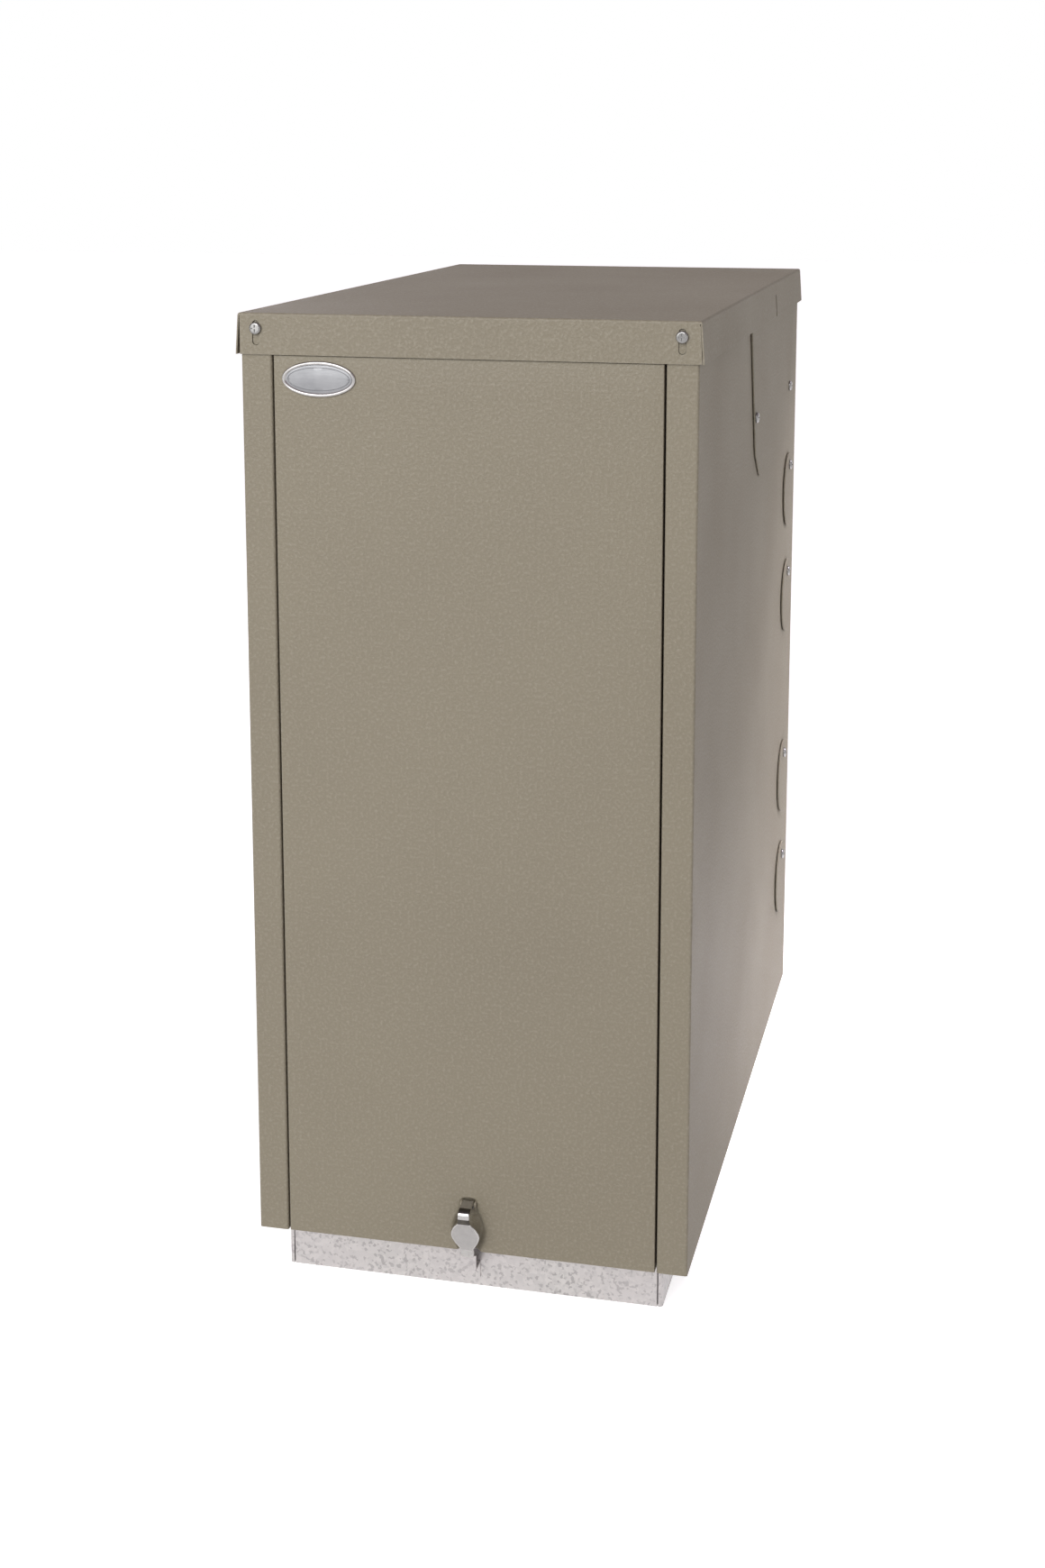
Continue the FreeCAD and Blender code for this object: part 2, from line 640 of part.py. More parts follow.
# Casing reference faces
half = d.casing_width / 2
inside = half - d.panel_sheet
front = -d.casing_depth / 2
rear = d.casing_depth / 2
floor = d.plinth_height
pan_top = floor + d.base_sheet
panel_top = d.casing_height - d.panel_sheet - d.fit_gap
cover_y = rear - d.cover_rear
flue_plate_foot = d.casing_height - d.flue_plate_foot_drop
cover_top = flue_plate_foot - d.cover_high_drop
cover_low = floor + d.cover_low_rise
cover_heights = [cover_top, cover_top - d.cover_pitch, cover_low + d.cover_pitch, cover_low]
flue_y = rear - d.flue_rear
flue_plate_top = d.casing_height - d.lid_flange + d.flue_plate_lap
flue_shoulder_z = d.casing_height - d.flue_plate_shoulder_drop
screw_hole = d.screw_radius + d.screw_clear
lid_screw_x = half - d.lid_screw_inset
lid_screw_z = d.casing_height - d.lid_screw_drop
rear_screw_x = half - d.rear_border / 2
rear_screw_first = floor + d.rear_screw_low
rear_screw_span = panel_top - d.rear_screw_drop - rear_screw_first
rear_screw_heights = [rear_screw_first + rear_screw_span * number / 3 for number in range(4)]

# Boiler reference faces
boiler_half = half - d.boiler_side_space
pipe_x = boiler_half - d.pipe_inset
boiler_front = front + d.boiler_front_space
boiler_bottom = floor + d.boiler_base
boiler_top = d.casing_height - d.boiler_headroom
shell_rear = flue_y - d.condenser_before
condenser_rear = flue_y + d.condenser_behind
chamber_rear = shell_rear - d.chamber_rear_water
burner_z = boiler_bottom + d.burner_rise
upper_half = boiler_half - d.upper_side_water
upper_front = boiler_front + d.upper_inset
upper_rear = shell_rear - d.upper_inset
upper_floor = burner_z + d.upper_rise
port_half = upper_half - d.port_inset
port_top = boiler_top - d.port_drop
port_bottom = port_top - d.port_height
fan_y = boiler_front - d.drum_setback
plate_front = boiler_front - d.burner_plate_sheet
hood_front = fan_y - d.drum_radius - d.hood_drum_gap
hood_half = d.drum_half_width + d.motor_length + d.hood_side_gap
pump_start = d.drum_half_width + d.pump_gap
fascia = front + d.panel_box_front
panel_box_top = d.casing_height - d.panel_box_drop
panel_box_low = panel_box_top - d.panel_box_height
fascia_z = panel_box_low + d.panel_box_height / 2
flow_z = boiler_top - d.flow_drop
return_z = boiler_bottom + d.return_rise
drain_end = flue_y + d.drain_half + d.drain_spout
spigot_top = boiler_top + d.spigot_height
flue_bend_z = spigot_top + d.elbow_rise
flue_run_z = flue_bend_z + d.flue_bend


# Plinth and base pan
def make_plinth():
    end = half - d.plinth_inset
    near = front + d.plinth_setback
    far = rear - d.plinth_setback
    plate = d.base_sheet
    finish(block((-end, near, 0), (end, near + plate, floor)), "plinth_front")
    finish(block((-end, far - plate, 0), (end, far, floor)), "plinth_rear")
    inner = end - d.rail_flange
    lip = end + d.rail_gap
    outer = end + d.rail_step
    rail = fuse(
        block((outer - plate, near, 0), (outer, far, floor)),
        block((lip, near, 0), (outer, near + plate, floor)),
        block((lip, far - plate, 0), (outer, far, floor)),
        block((inner, near + plate, 0), (outer, far - plate, plate)),
        block((inner, near + plate, floor - plate), (outer, far - plate, floor)),
    )
    upright = Vector(0, 0, 1)
    rail = bend_edges(
        rail,
        d.rail_bend,
        lambda edge: runs_along(edge, upright)
        and lies_at(edge, "x", outer)
        and (lies_at(edge, "y", near) or lies_at(edge, "y", far)),
    )
    finish(rail, "plinth_rail_right")
    finish(mirror(rail), "plinth_rail_left")


def make_base_pan():
    low = (-inside + d.fit_gap, front + d.pan_setback, floor)
    high = (inside - d.fit_gap, rear - 2 * d.panel_sheet - d.fit_gap, floor + d.pan_upstand)
    web = half - d.plinth_inset - d.rail_flange - d.fit_gap
    pan = fuse(
        tray(low, high, d.base_sheet, open_high=(0, 0, 1)),
        block((-web, -d.base_sheet / 2, 0), (web, d.base_sheet / 2, pan_top)),
        block((-web, -d.web_foot / 2, 0), (web, d.web_foot / 2, d.base_sheet)),
    )
    finish(pan, "base_pan")


# Side panels, flue plates and pipe covers
def flue_outline(inset):
    upper = d.flue_plate_top_half - inset
    shoulder = d.flue_plate_shoulder_half - inset
    foot = d.flue_plate_foot_half - inset / 2
    foot_z = flue_plate_foot + inset
    shoulder_z = flue_shoulder_z + inset / 2
    return [
        (flue_y - foot, foot_z),
        (flue_y + foot, foot_z),
        (flue_y + shoulder, shoulder_z),
        (flue_y + upper, flue_plate_top - inset),
        (flue_y - upper, flue_plate_top - inset),
        (flue_y - shoulder, shoulder_z),
    ]


def flue_screw_spots():
    """Screws just inside the plate's sloping edges."""
    screw_z = d.casing_height - d.flue_screw_drop
    slope = (d.flue_plate_top_half - d.flue_plate_shoulder_half) / (flue_plate_top - flue_shoulder_z)
    edge = d.flue_plate_shoulder_half + slope * (screw_z - flue_shoulder_z)
    return [(flue_y + side * (edge - d.flue_screw_inset), screw_z) for side in (-1, 1)]


def make_side_panels():
    border = half - d.front_border
    sheet_metal = d.panel_sheet
    panel = fuse(
        block((inside, front, floor), (half, rear, panel_top)),
        block((border, front, floor), (half, front + sheet_metal, panel_top)),
        block((border, front, floor), (border + sheet_metal, front + d.front_return, panel_top)),
        block((half - d.rear_corner, rear - sheet_metal, floor), (half, rear, panel_top)),
        block((half - d.top_border, front + d.front_return, panel_top - sheet_metal), (half, rear, panel_top)),
    )
    notch_half = screw_hole + d.fit_gap
    tools = [
        prism("yz", flue_outline(d.flue_opening_rim), inside - 1, half + 1),
        block(
            (lid_screw_x - notch_half, front - 1, lid_screw_z - notch_half),
            (lid_screw_x + notch_half, front + sheet_metal + 1, panel_top + 1),
        ),
    ]
    for z in cover_heights:
        tools.append(rod("x", (cover_y, z), d.cover_hole_radius, inside - 1, half + 1))
        tools.append(rod("x", (cover_y, z + d.cover_screw_rise), screw_hole, inside - 1, half + 1))
    for spot in flue_screw_spots():
        tools.append(rod("x", spot, screw_hole, inside - 1, half + 1))
    strip = block(
        (half - d.rear_border, rear - sheet_metal, floor),
        (half - d.rear_corner, rear, panel_top - sheet_metal),
    )
    holes = []
    for z in rear_screw_heights:
        holes.append(rod("y", (rear_screw_x, z), screw_hole, rear - sheet_metal - 1, rear + 1))
    strip = cut(strip, *holes)
    folded = bend_edges(
        cut(panel, *tools),
        d.panel_bend,
        lambda edge: (lies_at(edge, "x", half) and (lies_at(edge, "y", front) or lies_at(edge, "y", rear)))
        or (lies_at(edge, "x", border) and lies_at(edge, "y", front)),
    )
    finish(group(folded, strip), "side_panel_right")
    finish(group(mirror(folded), mirror(strip)), "side_panel_left")


def is_rim(edge, face):
    """An outline edge of a cover's outer face, not a screw hole in it."""
    return lies_at(edge, "x", face) and edge.Length > d.cover_radius / 2


def make_flue_plates():
    outer = half + d.seat_step
    plate = cut(
        fuse(
            prism("yz", flue_outline(0), outer, outer + d.panel_sheet),
            prism("yz", flue_outline(d.flue_plate_rim), half, outer),
        ),
        *[rod("x", spot, screw_hole, half - 1, outer + d.panel_sheet + 1) for spot in flue_screw_spots()],
    )
    face = outer + d.panel_sheet
    rounded = bend_edges(plate, d.rim_round, lambda edge: is_rim(edge, face))
    finish(rounded, "flue_plate_right")
    finish(mirror(rounded), "flue_plate_left")


def make_pipe_covers():
    seat = half + d.fit_gap
    rim = seat + d.seat_step
    for number, z in enumerate(cover_heights, 1):
        cover = cut(
            fuse(
                rod("x", (cover_y, z), d.cover_radius, rim, rim + d.panel_sheet),
                rod("x", (cover_y, z), d.cover_radius - d.cover_rim, seat, rim),
            ),
            rod("x", (cover_y, z + d.cover_screw_rise), screw_hole, seat - 1, rim + d.panel_sheet + 1),
        )
        face = rim + d.panel_sheet
        rounded = bend_edges(cover, d.rim_round, lambda edge: is_rim(edge, face))
        finish(rounded, f"pipe_cover_right_{number}")
        finish(mirror(rounded), f"pipe_cover_left_{number}")


# Screws
def screw_shape():
    """One pan-head screw along +Z: head below zero, shank above."""
    body = doc.addObject("PartDesign::Body", "Screw")
    head = sketch_in(body, "xy")
    head.addGeometry(Part.Circle(Vector(0, 0, 0), Vector(0, 0, 1), float(d.screw_head_radius)))
    head.addConstraint(Sketcher.Constraint("Coincident", 0, 3, -1, 1))
    bind(head, **{f"Constraints[{head.addConstraint(radius_of(d.screw_head_radius))}]": d.screw_head_radius})
    bind(head, AttachmentOffset__Base__z=-d.screw_head_height)
    pad = body.newObject("PartDesign::Pad", "Head")
    pad.Profile = head
    bind(pad, Length=d.screw_head_height)
    round_edges(body, d.screw_head_height * 0.6, lambda edge: edge.BoundBox.ZMax < -0.01)
    shank = sketch_in(body, "xy")
    shank.addGeometry(Part.Circle(Vector(0, 0, 0), Vector(0, 0, 1), float(d.screw_radius)))
    shank.addConstraint(Sketcher.Constraint("Coincident", 0, 3, -1, 1))
    bind(shank, **{f"Constraints[{shank.addConstraint(radius_of(d.screw_radius))}]": d.screw_radius})
    stem = body.newObject("PartDesign::Pad", "Shank")
    stem.Profile = shank
    bind(stem, Length=d.screw_length)
    reach = d.screw_head_radius * 0.6
    wide = d.cross_width / 2
    slot_top = d.cross_depth - d.screw_head_height
    slots = [
        block((-reach, -wide, -d.screw_head_height - 1), (reach, wide, slot_top)),
        block((-wide, -reach, -d.screw_head_height - 1), (wide, reach, slot_top)),
    ]
    screw = cut(body, *slots)
    doc.recompute()
    return screw.Shape


def radius_of(value):
    return Sketcher.Constraint("Radius", 0, float(value))


def screw_group(shape, places, label):
    """Copies of one screw: each place is a spot under its head and the way it points."""
    copies = []
    for spot, way in places:
        turn = Rotation(Vector(0, 0, 1), Vector(*way))
        copy = shape.copy()
        copy.Placement = FreeCAD.Placement(Vector(*[float(value) for value in spot]), turn)
        copies.append(copy)
    screws = doc.addObject("Part::Feature", "Screws")
    screws.Shape = Part.makeCompound(copies)
    finish(screws, label)


def make_screws():
    shape = screw_shape()
    cover_seat = half + d.fit_gap + d.seat_step + d.panel_sheet + d.run_gap
    plate_seat = half + d.seat_step + d.panel_sheet
    lid_face = front - d.lid_end_gap - d.panel_sheet
    casing = []
    for side in (1, -1):
        inward = (-side, 0, 0)
        for z in cover_heights:
            casing.append(((side * cover_seat, cover_y, z + d.cover_screw_rise), inward))
        for y, z in flue_screw_spots():
            casing.append(((side * plate_seat, y, z), inward))
        for z in rear_screw_heights:
            casing.append(((side * rear_screw_x, rear, z), (0, -1, 0)))
    screw_group(shape, casing, "panel_screws")
    lid = []
    for side in (1, -1):
        lid.append(((side * lid_screw_x, lid_face, lid_screw_z), (0, 1, 0)))
    screw_group(shape, lid, "lid_screws")


# Rear panel and top rail
def make_rear_panel():
    sheet_metal = d.panel_sheet
    low = (-inside + d.fit_gap, rear - 2 * sheet_metal, floor)
    high = (inside - d.fit_gap, rear - sheet_metal, panel_top - sheet_metal - d.fit_gap)
    ends = (rear - 2 * sheet_metal - 1, rear - sheet_metal + 1)
    tools = [rod("y", (0, flue_run_z), d.flue_radius + d.flue_wall + d.flue_exit_clear, *ends)]
    for z in (flow_z, return_z):
        tools.append(rod("y", (pipe_x, z), d.pipe_exit_radius, *ends))
    for z in rear_screw_heights:
        for side in (1, -1):
            tools.append(rod("y", (side * rear_screw_x, z), screw_hole, *ends))
    finish(cut(block(low, high), *tools), "rear_panel")


def make_top_rail():
    near = front + d.rail_setback
    low_z = d.casing_height - d.rail_low
    high_z = d.casing_height - d.rail_high
    rail = fuse(
        block((-inside, near, low_z), (inside, near + d.base_sheet, high_z)),
        block((-inside, near, low_z), (inside, near + d.rail_lip, low_z + d.base_sheet)),
    )
    finish(rail, "front_top_rail")
    stud_z = front_panel_top - d.stud_drop
    rings = []
    studs = []
    for side in (-1, 1):
        spot = (side * d.stud_half, stud_z)
        ring_radius = d.stud_ball_radius + d.fit_gap + d.clip_wall
        rings.append(tube("y", spot, ring_radius, d.clip_wall, near - d.clip_length, near))
        ball = doc.addObject("Part::Sphere", "Ball")
        bind(ball, Radius=d.stud_ball_radius)
        place(ball, (spot[0], front + d.stud_reach, spot[1]))
        neck = rod("y", spot, d.stud_radius, front + d.panel_sheet, front + d.stud_reach)
        studs.append(fuse(neck, ball))
    finish(group(*rings), "panel_clips")
    finish(group(*studs), "panel_studs")


# Lid
def make_lid():
    sheet_metal = d.panel_sheet
    top = d.casing_height
    bottom = top - d.lid_flange
    outer = half + d.lid_side_gap + sheet_metal
    near = front - d.lid_end_gap - sheet_metal
    far = rear + d.lid_end_gap + sheet_metal
    slope = d.lid_flare / d.lid_flange

    def pan(inset, low):
        high = top - inset
        wide_low = outer - inset + slope * (top - low)
        wide_high = outer - inset + slope * inset
        corners = [(-wide_low, low), (wide_low, low), (wide_high, high), (-wide_high, high)]
        body = prism("xz", corners, near + inset, far - inset)
        return round_edges(body, d.panel_bend - inset, lambda edge: lies_at(edge, "z", high))

    splay = outer + d.lid_flare
    slot_half = d.lid_slot_width / 2
    slot_top = top - d.lid_slot_drop
    notch_low = (-splay - 1, flue_y - slot_half, bottom - 1)
    notch_high = (splay + 1, flue_y + slot_half, bottom + d.lid_notch_height)
    tools = [pan(sheet_metal, bottom - 1), block(notch_low, notch_high)]
    seam_outer = outer - sheet_metal
    seam_inner = seam_outer - d.fit_gap
    seam_top = top - d.panel_bend
    for side in (-1, 1):
        x = side * lid_screw_x
        seam = [
            (side * seam_inner, seam_top),
            (side * (seam_outer + slope * d.panel_bend), seam_top),
            (side * (seam_outer + slope * (d.lid_flange + 1)), bottom - 1),
            (side * seam_inner, bottom - 1),
        ]
        high_end = slot_top - slot_half
        low_end = slot_top - d.lid_slot_length + slot_half
        tools.append(block((x - slot_half, near - 1, low_end), (x + slot_half, front, high_end)))
        for end in (low_end, high_end):
            tools.append(rod("y", (x, end), slot_half, near - 1, front))
        for start, stop in ((near - 1, front), (rear, far + 1)):
            tools.append(prism("xz", seam, start, stop))
    finish(cut(pan(0, bottom), *tools), "lid")


# Front panel, badge and latch
front_half = half - d.front_border - d.front_gap
front_panel_top = d.casing_height - d.lid_flange - d.front_top_gap
dimple_z = floor + d.dimple_low
dimple_top_z = dimple_z + d.dimple_rise
pivot = (front - d.latch_pivot_reach, dimple_top_z + d.latch_pivot_rise)


def stadium(radius, start, stop):
    return fuse(
        rod("y", (0, dimple_z), radius, start, stop),
        rod("y", (0, dimple_top_z), radius, start, stop),
        block((-radius, start, dimple_z), (radius, stop, dimple_top_z)),
    )


def make_front_panel():
    sheet_metal = d.panel_sheet
    panel = tray(
        (-front_half, front, floor),
        (front_half, front + d.front_tray, front_panel_top),
        sheet_metal,
        open_high=(0, 1, 0),
    )
    cup = stadium(d.dimple_radius + sheet_metal, front, front + d.dimple_depth + sheet_metal)
    hollow = stadium(d.dimple_radius, front - 1, front + d.dimple_depth)
    folded = bend_edges(
        cut(fuse(panel, cup), hollow),
        d.panel_bend,
        lambda edge: lies_at(edge, "y", front) and edge.Length > front_half,
    )
    finish(folded, "front_panel")


def make_badge():
    oval = doc.addObject("Part::Ellipse", "Oval")
    bind(oval, MajorRadius=d.badge_half_length, MinorRadius=d.badge_half_height)
    spot = (-front_half + d.badge_inset, front, front_panel_top - d.badge_drop)
    place(oval, spot, Rotation(Vector(1, 0, 0), 90))
    plate = doc.addObject("Part::Extrusion", "Badge")
    plate.Base = oval
    plate.DirMode = "Custom"
    plate.Dir = Vector(0, -1, 0)
    plate.Solid = True
    bind(plate, LengthFwd=d.badge_sheet)
    face = front - d.badge_sheet
    finish(bend_edges(plate, d.badge_round, lambda edge: lies_at(edge, "y", face)), "badge")


def make_latch():
    pivot_y, pivot_z = pivot
    metal = d.latch_sheet
    bulge_z = floor + d.latch_bulge_height
    tail_z = floor - d.latch_tail_drop
    roof = pivot_z + d.latch_barrel_radius
    bend_y = front - d.latch_bend_reach
    bulge_y = front - d.latch_bulge_reach
    tail_y = front - d.latch_tail_reach
    profile = [
        (pivot_y, roof),
        (bend_y + 4, roof),
        (bend_y, roof - 5),
        (bulge_y, bulge_z),
        (tail_y - 2, tail_z + 10),
        (tail_y, tail_z),
        (tail_y + metal, tail_z),
        (tail_y - 2 + metal, tail_z + 10),
        (bulge_y + metal, bulge_z),
        (bend_y + metal + 0.5, roof - 5.5),
        (bend_y + 5, roof - metal),
        (pivot_y, roof - metal),
    ]
    wide = d.latch_bulge_radius + 1
    strip = prism("yz", profile, -wide, wide)
    across = Vector(1, 0, 0)
    round_edges(
        strip,
        d.latch_bend_round,
        lambda edge: runs_along(edge, across)
        and float(roof) - 6 < edge.CenterOfMass.z < float(roof) + 1
        and edge.CenterOfMass.y < float(front) - 10,
    )
    neck = d.latch_neck_half
    tail = d.latch_tail_half
    taper = d.latch_bulge_radius * 0.8
    outline = fuse(
        rod("y", (0, bulge_z), d.latch_bulge_radius, bend_y - 5, front + 5),
        prism(
            "xz",
            [
                (-tail, tail_z - 1),
                (tail, tail_z - 1),
                (tail, bulge_z - taper),
                (neck, bulge_z + taper),
                (neck, roof + 1),
                (-neck, roof + 1),
                (-neck, bulge_z + taper),
                (-tail, bulge_z - taper),
            ],
            bend_y - 5,
            front + 5,
        ),
    )
    barrel = rod("x", pivot, d.latch_barrel_radius, -neck, neck)
    bore = rod("x", pivot, d.latch_pin_radius + d.run_gap, -neck - 1, neck + 1)
    finish(cut(fuse(common(strip, outline), barrel), bore), "latch_lever")

    ear_inner = neck + d.fit_gap
    ear_outer = ear_inner + d.latch_ear
    back = front + d.dimple_depth
    low_z = pivot_z - d.latch_barrel_radius
    ears = []
    for side in (-1, 1):
        inner_x = side * ear_inner if side > 0 else side * ear_outer
        outer_x = side * ear_outer if side > 0 else side * ear_inner
        ears.append(block((inner_x, pivot_y - d.latch_barrel_radius, low_z), (outer_x, back, roof)))
    base = block((-ear_outer, back - d.latch_ear, low_z), (ear_outer, back, roof))
    hole = rod("x", pivot, d.latch_pin_radius, -ear_outer - 1, ear_outer + 1)
    pin = rod("x", pivot, d.latch_pin_radius, -ear_outer, ear_outer)
    finish(group(cut(fuse(base, *ears), hole), pin), "latch_bracket")


def make_keeper():
    metal = d.base_sheet
    face = front + d.plinth_setback
    tongue = front - d.keeper_reach
    leg = d.keeper_leg_height
    top = floor - d.keeper_drop
    corners = [
        (tongue, leg),
        (face - metal, leg),
        (face - metal, leg - d.keeper_foot),
        (face, leg - d.keeper_foot),
        (face, leg + metal),
        (tongue + metal, leg + metal),
        (tongue + metal, top),
        (tongue, top),
    ]
    finish(prism("yz", corners, -d.keeper_half, d.keeper_half), "latch_keeper")


# Boiler block
def grown(low, high, by):
    return [value - by for value in low], [value + by for value in high]


def make_shell():
    wall = d.shell_wall
    axis = (0, burner_z)
    body = block((-boiler_half, boiler_front, boiler_bottom), (boiler_half, shell_rear, boiler_top))
    water = block(
        (-boiler_half + wall, boiler_front + wall, boiler_bottom + wall),
        (boiler_half - wall, shell_rear - wall, boiler_top - wall),
    )
    upper_low = (-upper_half, upper_front, upper_floor)
    upper_high = (upper_half, upper_rear, boiler_top + 1)
    throat_low = (-d.throat_half_width, upper_front + d.throat_margin, burner_z + d.throat_rise)
    throat_high = (d.throat_half_width, upper_rear - d.throat_margin, upper_floor + 1)
    port_low = (-port_half, upper_rear - 1, port_bottom)
    port_high = (port_half, shell_rear + 1, port_top)
    jackets = [
        rod("y", axis, d.chamber_radius + wall, boiler_front, chamber_rear + wall),
        block(*grown(upper_low, upper_high, wall)),
        block(*grown(throat_low, throat_high, wall)),
        block(*grown(port_low, port_high, wall)),
    ]
    spaces = [
        rod("y", axis, d.chamber_radius, boiler_front - 1, chamber_rear),
        block(upper_low, upper_high),
        block(throat_low, throat_high),
        block(port_low, port_high),
    ]
    for z in (flow_z, return_z):
        spaces.append(rod("y", (-pipe_x, z), d.pipe_radius, shell_rear - wall - 1, shell_rear + 1))
    feet = []
    for side in (-1, 1):
        middle = side * (boiler_half - d.foot_inset)
        reach = d.foot_half_width
        foot = block(
            (middle - reach, boiler_front + d.foot_end, pan_top),
            (middle + reach, condenser_rear - d.foot_end, boiler_bottom),
        )
        inner = block(
            (middle - reach + d.foot_wall, boiler_front, pan_top + d.foot_wall),
            (middle + reach - d.foot_wall, condenser_rear, boiler_bottom - d.foot_wall),
        )
        feet.append(cut(foot, inner))
    hull = cut(body, cut(water, *jackets))
    finish(fuse(cut(hull, *spaces), *feet), "boiler_shell")


def make_condenser():
    wall = d.flue_wall
    flue = (0, flue_y)
    drain = (-d.drain_x, flue_y)
    spout = (-d.drain_x, floor + d.trap_pipe_rise)
    sump = d.drain_half
    gas_floor = boiler_bottom + d.port_drop
    body = fuse(
        block((-boiler_half, shell_rear, boiler_bottom), (boiler_half, condenser_rear, boiler_top)),
        rod("z", flue, d.flue_radius + wall, boiler_top, spigot_top),
        block(
            (-d.drain_x - sump, flue_y - sump, floor + d.drain_low),
            (-d.drain_x + sump, flue_y + sump, boiler_bottom),
        ),
        rod("y", spout, d.drain_radius + d.drain_wall, flue_y, drain_end),
    )
    water = block(
        (-boiler_half + wall, shell_rear + wall, boiler_bottom + wall),
        (boiler_half - wall, condenser_rear - wall, boiler_top - wall),
    )
    gas_low = (-upper_half, shell_rear + 2 * wall, gas_floor)
    gas_high = (upper_half, condenser_rear - d.port_drop, port_top)
    port_low = (-port_half, shell_rear - 1, port_bottom)
    port_high = (port_half, shell_rear + 3 * wall, port_top)
    jackets = [
        block(*grown(gas_low, gas_high, wall)),
        block(*grown(port_low, port_high, wall)),
        rod("z", flue, d.flue_radius + wall, port_top - 1, boiler_top),
        rod("z", drain, d.drain_radius + wall, boiler_bottom, gas_floor + 1),
    ]
    spaces = [
        block(gas_low, gas_high),
        block(port_low, port_high),
        rod("z", flue, d.flue_radius, port_top - 1, spigot_top + 1),
        rod("z", drain, d.drain_radius, spout[1], gas_floor + 1),
        rod("y", spout, d.drain_radius, flue_y, drain_end + 1),
    ]
    for z in (flow_z, return_z):
        pipe_bore = d.pipe_radius - d.pipe_wall
        spaces.append(rod("y", (-pipe_x, z), d.pipe_radius, shell_rear - 1, shell_rear + wall + 1))
        spaces.append(rod("y", (pipe_x, z), pipe_bore, condenser_rear - wall - 1, condenser_rear + 1))
    finish(cut(cut(body, cut(water, *jackets)), *spaces), "condenser")


def make_insulation():
    thick = d.insulation_thick
    outer = block(
        (-boiler_half - thick, boiler_front, boiler_bottom),
        (boiler_half + thick, condenser_rear + thick, boiler_top),
    )
    inner = block(
        (-boiler_half - d.fit_gap, boiler_front - 1, boiler_bottom - 1),
        (boiler_half + d.fit_gap, condenser_rear + d.fit_gap, boiler_top + 1),
    )
    holes = []
    for z in (flow_z, return_z):
        hole_radius = d.pipe_radius + d.pipe_sleeve
        holes.append(rod("y", (pipe_x, z), hole_radius, condenser_rear - 1, condenser_rear + thick + 1))
    finish(cut(outer, inner, *holes), "insulation_jacket")


def make_baffles():
    count = 4
    reach = upper_half - d.fit_gap
    first = upper_front + d.baffle_margin
    pitch = (upper_rear - d.baffle_margin - d.baffle_sheet - first) / (count - 1)
    window_low = upper_floor + d.baffle_window_rise
    plates = []
    for number in range(count):
        y = first + pitch * number
        top = boiler_top - d.baffle_headroom
        plate = block((-reach, y, upper_floor), (reach, y + d.baffle_sheet, top))
        left = reach - d.baffle_window_width if number % 2 else -reach - 1
        window = block(
            (left, y - 1, window_low),
            (left + d.baffle_window_width + 1, y + d.baffle_sheet + 1, window_low + d.baffle_window_height),
        )
        plates.append(cut(plate, window))
    finish(group(*plates), "baffles")


def make_cleaning_cover():
    wide = boiler_half - d.cleaning_margin
    near = boiler_front + d.cleaning_end
    far = shell_rear - d.cleaning_end
    top = boiler_top + d.cleaning_sheet
    nut_top = top + d.hand_nut_height
    collar_top = top + d.hand_nut_collar
    plate = block((-wide, near, boiler_top), (wide, far, top))
    holes = []
    knobs = []
    for x in (-wide + d.cleaning_inset, wide - d.cleaning_inset):
        for y in (near + d.cleaning_inset, far - d.cleaning_inset):
            spot = (x, y)
            holes.append(rod("z", spot, d.cleaning_stud_radius + d.fit_gap, boiler_top - 1, top + 1))
            stud = rod("z", spot, d.cleaning_stud_radius, boiler_top, nut_top + d.stud_end)
            bore = rod("z", spot, d.cleaning_stud_radius + d.run_gap, top - 1, nut_top + 1)
            nut = fuse(
                rod("z", spot, d.hand_nut_radius, top, collar_top),
                hexagon("z", spot, d.hand_nut_radius - d.hand_nut_step, collar_top, nut_top),
            )
            knobs.append(stud)
            knobs.append(cut(nut, bore))
    finish(cut(plate, *holes), "cleaning_cover")
    finish(group(*knobs), "cleaning_cover_knobs")


def make_flue_elbow():
    bore = d.flue_radius
    outer = bore + d.flue_wall
    socket = outer + d.fit_gap
    foot = boiler_top + d.socket_gap
    shoulder = spigot_top + d.fit_gap
    spot = (0, flue_y)
    bend_y = flue_y + d.flue_bend
    bends = []
    for radius in (outer, bore):
        ring = doc.addObject("Part::Torus", "Bend")
        bind(ring, Radius1=d.flue_bend, Radius2=radius)
        ring.Angle3 = 90
        place(ring, (0, bend_y, flue_bend_z), bend_rotation())
        bends.append(ring)
    solid = fuse(
        rod("z", spot, socket + d.flue_wall, foot, shoulder + d.socket_collar),
        rod("z", spot, outer, shoulder, flue_bend_z),
        bends[0],
        rod("y", (0, flue_run_z), outer, bend_y, rear),
    )
    hollow = [
        rod("z", spot, socket, foot - 1, shoulder),
        rod("z", spot, bore, shoulder - 1, flue_bend_z),
        bends[1],
        rod("y", (0, flue_run_z), bore, bend_y, rear + 1),
    ]
    finish(cut(solid, *hollow), "flue_elbow")


def bend_rotation():
    """Turns a flat quarter ring to rise from -Y and run out along +Y."""
    matrix = FreeCAD.Matrix(0, 0, -1, 0, -1, 0, 0, 0, 0, 1, 0, 0)
    return FreeCAD.Placement(matrix).Rotation


